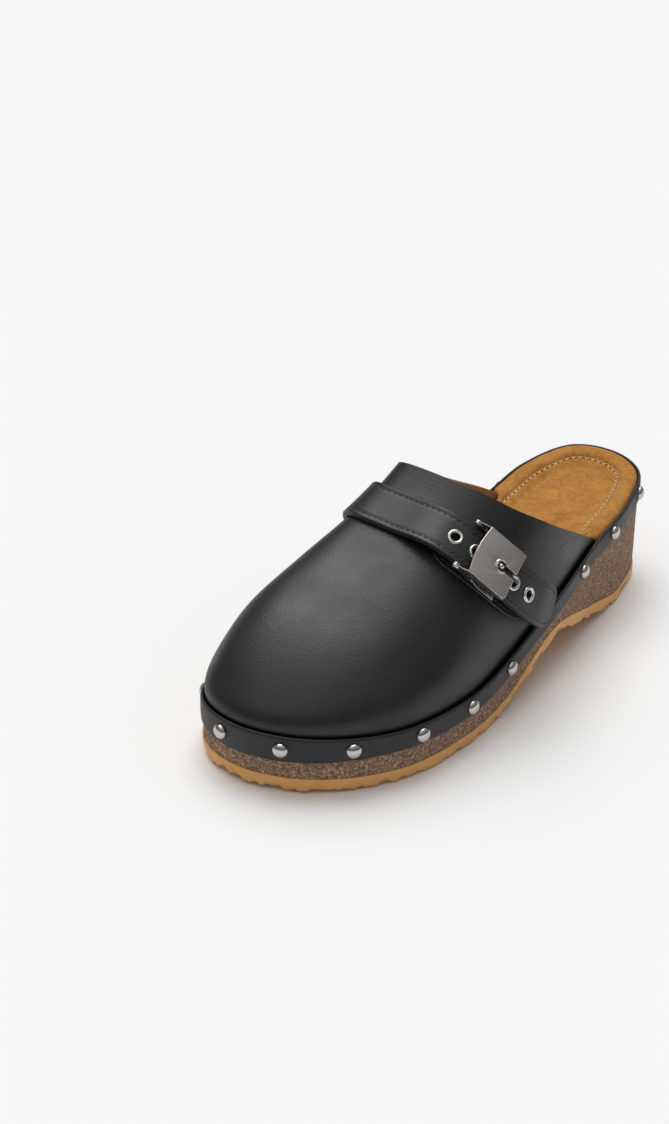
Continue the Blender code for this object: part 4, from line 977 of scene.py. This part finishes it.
def band(name, start, end, half, lift, thickness, look, count=260, tips=(0.0, 0.0), tuck=None, groove=0.0):
    """Strip along the strap's path, with a rounded section and rounded ends."""
    angles = np.concatenate([np.linspace(start, start + 2, 12)[:-1], np.linspace(start + 2, end - 2, count),
                             np.linspace(end - 2, end, 14)[1:]])
    halves = half_width(angles, half, start, end, *tips)
    widths, lifts = [], []
    for angle, own_half in zip(angles, halves):
        thick = float(thickness(angle))
        run_in = min(1.0, (min(angle - start, end - angle) / 0.6 + 0.02))
        shape = section(own_half, thick, groove)
        round_off = 1 - math.sqrt(max(0.0, 1 - (1 - run_in) ** 2))
        widths.append(shape[:, 0])
        lifts.append(float(lift(angle)) + thick / 2 + (shape[:, 1] - thick / 2) * (1 - 0.85 * round_off))
    rows, _ = band_point(np.repeat(angles[:, None], len(widths[0]), 1), np.array(widths), np.array(lifts),
                         tuck)
    return net(name, rows, look, wrap_across=True, caps=True, edges=60)


def strap_matrix(distance):
    """Frame on the strap's face at a distance along it from the keyhole: X along, Y across, Z out."""
    def face(angle):
        point, _, _, normal, _, _ = strap_frame(np.array(float(angle)))
        return point + normal * (strap_lift(angle) + STRAP_THICKNESS)

    angle, left = KEYHOLE_ANGLE, abs(distance)
    step = math.copysign(0.25, distance)
    here = face(angle)
    while left > 0:
        after = face(angle + step)
        run = np.linalg.norm(after - here)
        angle += step * min(1.0, left / run)
        left -= run
        here = after
    across = strap_frame(np.array(float(angle)))[2]
    run = unit(face(angle + 0.25) - face(angle - 0.25))
    normal = np.cross(run, across)
    across = np.cross(normal, run)
    rotation = Matrix([Vector(run), Vector(across), Vector(normal)]).transposed().to_4x4()
    return Matrix.Translation(Vector(face(angle) + SHIFT)) @ rotation


def hemmed(name, angles, width, lift, stitches, look, seed, tuck=None):
    """Row of stitches on a band, through points given by angle and width across."""
    points, normals = band_point(angles, width, lift, tuck)
    return grow(name, stitches, points + SHIFT, {"out": normals}, {
        "Pitch": 2.9 * MM, "Stitch Length": 2.2 * MM, "Thread Radius": 0.27 * MM, "Slant": 0.0,
        "Uneven": 0.05, "Seed": seed, "Material": look})


def make_strap(looks, stitches):
    """Strap, its backing and the chape, with their rows of stitches."""
    inner_end = -float(tucked_angle(strap_middle(np.array(-90.0))))
    tuck_end = float(tucked_angle(strap_middle(np.array(90.0))))
    half = STRAP_WIDTH / 2
    thick = pared(STRAP_THICKNESS, -1)
    strap = band("strap", inner_end, TIP_ANGLE, half, strap_lift, thick, looks["strap"], tips=(0, 5),
                 tuck=inner_end, groove=0.22 * MM)
    backing = band("strap_backing", 0.5 - TUCK_START, TIP_ANGLE - 1.5, half, backing_lift,
                   lambda angle: BACKING + GAP * 0.8, looks["strap"], count=160, tips=(0, 5), tuck=inner_end)
    chape_start = KEYHOLE_ANGLE - 22
    chape_thick = pared(STRAP_THICKNESS, 1)
    chape = band("chape", chape_start, tuck_end, CHAPE_WIDTH / 2, lambda angle: 0.1 * MM, chape_thick,
                 looks["strap"], count=120, tips=(8, 0), tuck=tuck_end, groove=0.18 * MM)

    # One row of stitches up one edge of the strap, across its tip and down the other.
    out = np.linspace(-82, TIP_ANGLE - 3.0, 240)
    reach = half_width(out, half, inner_end, TIP_ANGLE, 0, 5) - THREAD_INSET
    tip = np.linspace(1, -1, 24)[1:-1]
    angles = np.concatenate([out, np.full(22, out[-1] + 0.6), out[::-1]])
    widths = np.concatenate([reach, tip * reach[-1], -reach[::-1]])
    lift = np.array([float(strap_lift(a) + thick(a)) for a in angles]) - 0.16 * MM
    rows = [hemmed("strap_stitching", angles, widths, lift, stitches, looks["black thread"], 5, inner_end)]
    # The chape's row runs round its rounded end and down both edges.
    back = np.linspace(84, chape_start + 2.6, 90)
    reach = half_width(back, CHAPE_WIDTH / 2, chape_start, tuck_end, 8, 0) - THREAD_INSET
    angles = np.concatenate([back, np.full(22, back[-1] - 0.6), back[::-1]])
    widths = np.concatenate([reach, tip * reach[-1], -reach[::-1]])
    lift = np.array([float(0.1 * MM + chape_thick(a)) for a in angles]) - 0.13 * MM
    rows.append(hemmed("chape_stitching", angles, widths, lift, stitches, looks["black thread"], 6, tuck_end))
    return strap, backing, chape, rows


def make_collar_stitch(look, stitches):
    """Row that holds the collar's lining: close to the topline at the back, then down towards the strap."""
    pieces = []
    for side, points in (("outer", ((60.4, 1.6), (64.2, 7.2), (66.6, 10.4), (71, 19), (74.4, 28.2), (76, 36),
                                    (78, 41), (85, 54), (88.5, 60.5))),
                         ("inner", ((-60, 3), (-64, 9), (-67, 13), (-71, 22), (-74.5, 32), (-77, 41),
                                    (-80, 47), (-86, 61), (-88.5, 67)))):
        at = np.linspace(points[0][0], points[-1][0], 120)
        y = along(sorted(points), at) * MM
        place, normal, _, _ = upper_frame(y, at)
        pieces.append(grow("collar_stitching_" + side, stitches, place - normal * 0.12 * MM + SHIFT,
                           {"out": normal}, {
            "Pitch": 2.8 * MM, "Stitch Length": 2.1 * MM, "Thread Radius": 0.25 * MM, "Slant": 0.0,
            "Uneven": 0.05, "Seed": 8, "Material": look}))
    return pieces


# ---- studs and eyelets ----
def stud_places():
    """Plan position and outward normal of every stud, from the toe round the inner side and back."""
    face = inset_plan(-RAND_PROUD)
    normals = outward(PLAN)
    arc, total = ring_distance(face)
    toe = np.argmin(np.hypot(face[:, 0] - TOE_STUD_X, face[:, 1] - TOE_Y))
    heel = np.argmax(face[:, 1])
    inner_run = (arc[heel] - arc[toe]) % total
    inner = [arc[toe] + inner_run * i / (INNER_STUDS + 1) for i in range(INNER_STUDS + 1)]
    outer = []
    for i in range(OUTER_STUDS + 1):
        share = i / (OUTER_STUDS + 1)
        outer.append(arc[heel] + (total - inner_run) * share + OUTER_STUD_SHIFT * math.sin(math.pi * share))
    del outer[OUTER_LEFT_OUT]
    for place in inner + outer:
        i = np.searchsorted(arc, place % total) % len(face)
        yield face[i], normals[i]


def make_studs(look, fittings):
    """Domed nails of polished nickel, each seated in the leather that it presses down."""
    radius = STUD_DIAMETER / 2
    turn = np.radians(np.linspace(90, 4, 14))
    dome = [(radius * math.cos(a), 0.35 * MM + (STUD_HEIGHT - 0.1 * MM) * math.sin(a)) for a in turn]
    dome += [(radius, 0.2 * MM), (0.96 * radius, -0.1 * MM), (0.5 * radius, -0.3 * MM), (0, -0.3 * MM)]
    head = turned("stud_head", dome, None, None, 40)
    places, outs, ups = [], [], []
    for place, normal in stud_places():
        y = place[1]
        places.append((*place, along(RAND_BOTTOM, y) + along(RAND_HEIGHT, y) / 2))
        outs.append((*normal, 0.0))
        ups.append((0.0, 0.0, 1.0))
    studs = grow("dome_studs", fittings, np.array(places) + SHIFT, {"out": outs, "side": ups},
                 {"Head": head, "Size": 1.0, "Seed": 2, "Material": look}, chain=False)
    bpy.data.objects.remove(head)
    return studs


def make_eyelets(look, fittings):
    """Two-part eyelets: a rolled flange on the face and the barrel through the strap."""
    hole, flange = EYELET_HOLE / 2, EYELET_FLANGE / 2
    turn = np.radians(np.linspace(180, 0, 12))
    mid, roll = (hole + flange) / 2, (flange - hole) / 2
    profile = [(mid + roll * math.cos(a), 0.12 * MM + 0.62 * MM * math.sin(a)) for a in turn]
    profile += [(flange, -0.1 * MM), (hole + 0.45 * MM, -0.15 * MM), (hole + 0.45 * MM, -2.4 * MM),
                (hole, -2.4 * MM), profile[0]]
    head = turned("eyelet_head", profile, None, None, 48)
    frames = [strap_matrix((i - EYELETS // 2) * EYELET_PITCH) for i in range(EYELETS)]
    eyelets = grow("eyelets", fittings, [m.translation for m in frames],
                   {"out": [m.col[2][:3] for m in frames], "side": [m.col[0][:3] for m in frames]},
                   {"Head": head, "Size": 1.0, "Seed": 4, "Material": look}, chain=False)
    bpy.data.objects.remove(head)
    return eyelets, frames


def punch(pieces, frames):
    """Cuts the eyelets' holes through the strap's layers."""
    pins = [turned(f"punch_{i}", [(0, 3 * MM), (2.1 * MM, 3 * MM), (2.1 * MM, -4 * MM), (0, -4 * MM)], None,
                   m, 32)
            for i, m in enumerate(frames)]
    punch_set = bpy.data.collections.new("punches")
    for pin in pins:
        punch_set.objects.link(pin)
    for piece in pieces:
        made = piece.modifiers.new("holes", "BOOLEAN")
        made.operand_type = "COLLECTION"
        made.collection = punch_set
        made.solver = "EXACT"
        bake(piece)
    for pin in pins:
        bpy.data.objects.remove(pin)
    bpy.data.collections.remove(punch_set)


def bake(piece):
    """Turns a piece's modifiers into its mesh."""
    bpy.context.view_layer.update()
    graph = bpy.context.evaluated_depsgraph_get()
    mesh = bpy.data.meshes.new_from_object(piece.evaluated_get(graph))
    piece.modifiers.clear()
    old = piece.data
    piece.data = mesh
    bpy.data.meshes.remove(old)
    mesh.shade_smooth()
    mesh.set_sharp_from_angle(angle=math.radians(60))


# ---- buckle ----
def arc_points(centre, radius, start, end, count):
    return [(centre[0] + radius * math.cos(a), centre[1] + radius * math.sin(a))
            for a in np.radians(np.linspace(start, end, count))]


def plate_outline():
    """The plate from above: bowed hinge edge, a clipped corner, and the keyhole open to the prong's end."""
    half = PLATE_HALF
    bow = [(-PLATE_LEFT - PLATE_BOW * math.cos(math.pi / 2 * t), -half * t) for t in np.linspace(-1, 1, 17)]
    slot = SLOT_WIDTH / 2
    lip = math.degrees(math.asin(slot / (KEYHOLE / 2)))
    keyhole = arc_points((0, 0), KEYHOLE / 2, -lip, lip - 360, 32)
    clip = 1.3 * MM
    low = [(PLATE_RIGHT - clip, -half), (PLATE_RIGHT, -half + clip), (PLATE_RIGHT, -slot)]
    return bow + low + keyhole + [(PLATE_RIGHT, slot), (PLATE_RIGHT, half)]


def make_buckle(looks):
    """Flip buckle: the fixed base with its lugs, and the hinged plate with cheeks, prong and post."""
    home = strap_matrix(0.0)
    side_on = Matrix(((1, 0, 0, 0), (0, 0, -1, 0), (0, 1, 0, 0), (0, 0, 0, 1)))
    metal = (looks["gunmetal"], looks["edge"])
    low, high = PLATE_CLEARANCE, PLATE_CLEARANCE + PLATE_THICKNESS
    hinge = (-HINGE_REACH, -HINGE_DROP)
    base_high = -(STRAP_THICKNESS + GAP + BACKING + BASE_UNDER_STRAP)
    base_low = base_high - METAL
    fixed = [extruded("base", [(-8 * MM, -LUG_INNER - METAL), (7 * MM, -LUG_INNER - METAL),
                               (7 * MM, LUG_INNER + METAL), (-8 * MM, LUG_INNER + METAL)],
                      base_low, base_high, metal, home, 0.12 * MM)]
    lug = ([(-8 * MM, base_low), (-2 * MM, base_low), (-2 * MM, base_high + 0.3 * MM)]
           + arc_points(hinge, EAR, 60, 240, 17))
    cheek = ([(PLATE_RIGHT, low - 1.2 * MM), (PLATE_RIGHT, low + 0.4 * MM), (-PLATE_LEFT, low + 0.4 * MM)]
             + arc_points(hinge, EAR, 90, 300, 21))
    moving = [extruded("plate", plate_outline(), low, high, metal, home, 0.22 * MM)]
    pins = []
    for sign, side in ((1, "rear"), (-1, "front")):
        for shape, inner, store in ((lug, LUG_INNER, fixed), (cheek, CHEEK_INNER, moving)):
            span = sorted((-sign * inner, -sign * (inner + METAL)))
            store.append(extruded("flange", shape, *span, metal, home @ side_on, 0.12 * MM))
        face = CHEEK_INNER + METAL
        head = [(0, face + 0.75 * MM), (0.45 * EAR, face + 0.66 * MM), (0.72 * EAR, face + 0.4 * MM),
                (0.8 * EAR, face + 0.15 * MM), (0.8 * EAR, face), (0.6 * MM, face),
                (0.6 * MM, LUG_INNER - GAP), (0, LUG_INNER - GAP)]
        on_axis = Matrix.Translation((*hinge[:1], 0, hinge[1]))
        across = home @ on_axis @ Matrix.Rotation(math.radians(-90 * sign), 4, "X")
        pins.append(turned(f"hinge_pin_head_{side}", head, looks["nickel"], across, 32))
    base = joined("buckle_frame", fixed)
    plate = joined("buckle_cover", moving)

    prong_z = low - GAP - PRONG / 2
    far = home.inverted() @ strap_matrix(EYELET_PITCH)
    bend, down = far @ Vector((0, 0, 1.2 * MM)), far @ Vector((0, 0, -1.6 * MM))
    tip = EYELET_PITCH
    stations = np.array([(-7 * MM, 0, prong_z), (0, 0, prong_z), (0.45 * tip, 0, prong_z + 0.3 * MM),
                         (0.75 * tip, 0, prong_z - 0.1 * MM), tuple(bend), tuple(down)])
    walk = np.concatenate([[0], np.cumsum(np.linalg.norm(np.diff(stations, axis=0), axis=1))])
    at = np.linspace(0, walk[-1], 40)
    path = np.column_stack([along(np.column_stack([walk, stations[:, k]]), at) for k in range(3)])
    # The prong material's dark colour is painted shade from the plate above it.
    prong = bar("prong", path, PRONG / 2, looks["prong"], home)
    cap = [(0, high + 0.75 * MM), (0.5 * MM, high + 0.68 * MM), (0.9 * MM, high + 0.45 * MM),
           (1.15 * MM, high + 0.1 * MM), (1.15 * MM, prong_z), (0, prong_z)]
    post = turned("post", cap, looks["nickel"], home, 32)
    rim_path = [(x, y, high + 0.25 * MM) for x, y in arc_points((0, 0), KEYHOLE / 2 + 0.45 * MM, 44, 316, 44)]
    rim = bar("keyhole_ring", rim_path, 0.45 * MM, looks["nickel"], home)
    return base, plate, pins, prong, post, rim


# ---- stage ----
def make_stage():
    """Pale floor, two wide soft suns, a dim room and the camera."""
    mesh = bpy.data.meshes.new("floor")
    reach = 6.0
    mesh.from_pydata([(-reach, -reach, 0), (reach, -reach, 0), (reach, reach, 0), (-reach, reach, 0)], [],
                     [(0, 1, 2, 3)])
    paper, _, _, _ = finish_of("paper_sweep", Base_Color=srgb("f6f6f6"), Roughness=0.9)
    floor = piece_of("floor", mesh, paper, smooth=False)

    world = bpy.data.worlds.new("studio")
    bpy.context.scene.world = world
    world.use_nodes = True
    tree = world.node_tree
    room = tree.nodes["Background"]
    room.inputs["Strength"].default_value = 0.34
    # The room is dim near the horizon and bright overhead, which gives metal its dark and light bands.
    towards = add(tree, "ShaderNodeTexCoord").outputs["Generated"]
    rise = add(tree, "ShaderNodeSeparateXYZ", {"Vector": towards})
    glow = add(tree, "ShaderNodeMapRange", {"Value": rise.outputs["Z"], "From Min": 0.0, "From Max": 0.8,
                                            "To Min": 0.25, "To Max": 1.15})
    tree.links.new(glow.outputs[0], room.inputs["Color"])
    seen = add(tree, "ShaderNodeBackground", {"Color": srgb("f7f7f7"), "Strength": 1.0})
    path = add(tree, "ShaderNodeLightPath")
    mix = add(tree, "ShaderNodeMixShader", {0: path.outputs["Is Camera Ray"], 1: room.outputs[0],
                                            2: seen.outputs[0]})
    tree.links.new(mix.outputs[0], tree.nodes["World Output"].inputs["Surface"])

    for name, strength, spread, aim in (("key_softbox", 1.85, 48, (0.32, -0.3, -0.9)),
                                        ("top_softbox", 0.5, 60, (0.1, 0.2, -1.0))):
        light = bpy.data.lights.new(name, "SUN")
        light.energy = strength
        light.angle = math.radians(spread)
        lamp = bpy.data.objects.new(name, light)
        lamp.rotation_euler = Vector(aim).to_track_quat("-Z", "Y").to_euler()
        bpy.context.scene.collection.objects.link(lamp)

    azimuth, elevation = math.radians(39.6), math.radians(29.2)
    back = Vector((math.sin(azimuth) * math.cos(elevation), -math.cos(azimuth) * math.cos(elevation),
                   math.sin(elevation)))
    camera_data = bpy.data.cameras.new("camera")
    camera_data.lens = 60.8
    camera_data.sensor_width = 36
    camera_data.clip_end = 20
    camera = bpy.data.objects.new("camera", camera_data)
    camera.location = Vector(mm(413.6, -577.0, 443.2) + SHIFT)
    camera.rotation_euler = back.to_track_quat("Z", "Y").to_euler()
    bpy.context.scene.collection.objects.link(camera)
    bpy.context.scene.camera = camera
    bpy.context.scene.view_settings.view_transform = "Standard"


def settle(piece, body, slot, *replaced):
    """Puts a finished piece on its body and hides the solids that it stands for. The slot is not used."""
    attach(piece, body)
    if replaced:
        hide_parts(*replaced)


def main():
    looks = make_looks()
    make_stage()
    stitches, fittings = stitch_tree(), fitting_tree()

    settle(make_outsole(looks["crepe"]), "clog", "crepe", "outsole")
    settle(make_cork(looks["cork"]), "clog", "cork", "cork_platform")
    bed, seam = make_footbed(looks, stitches)
    settle(bed, "clog", "suede", "sock_lining", "footbed_foam")
    settle(seam, "clog", "suede")
    settle(make_rand(looks["rand"]), "clog", "rand_leather", "rand")
    vamp, lining = make_upper(looks)
    settle(vamp, "clog", "leather", "vamp_outer")
    settle(lining, "clog", "lining", "vamp_lining")
    strap, backing, chape, rows = make_strap(looks, stitches)
    settle(make_studs(looks["stud"], fittings), "clog", "stud_nickel",
           *[f"stud_{n:02d}" for n in range(1, OUTER_STUDS + INNER_STUDS + 2)])
    eyelets, frames = make_eyelets(looks["nickel"], fittings)
    punch((strap, backing), frames)
    settle(strap, "clog", "strap_leather", "strap_outer")
    settle(backing, "clog", "strap_leather", "strap_lining")
    settle(chape, "clog", "strap_leather", "chape")
    for row in rows + make_collar_stitch(looks["black thread"], stitches):
        settle(row, "clog", "strap_leather")
    settle(eyelets, "clog", "bright_nickel", *[f"eyelet_{n}" for n in range(1, EYELETS + 1)])

    base, plate, pins, prong, post, rim = make_buckle(looks)
    settle(base, "clog", "gunmetal", "buckle_base")
    settle(plate, "buckle_flap", "gunmetal", "buckle_plate")
    for pin, side in zip(pins, ("rear", "front")):
        settle(pin, "clog", "bright_nickel", "hinge_pin_" + side)
    settle(prong, "buckle_flap", "bright_nickel", "buckle_prong")
    settle(post, "buckle_flap", "bright_nickel", "buckle_post")
    settle(rim, "buckle_flap", "bright_nickel", "keyhole_rim")

    for node in ("insole_board", "toe_puff"):
        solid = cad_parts[node]
        solid.data.materials.clear()
        solid.data.materials.append(looks["board"])


main()
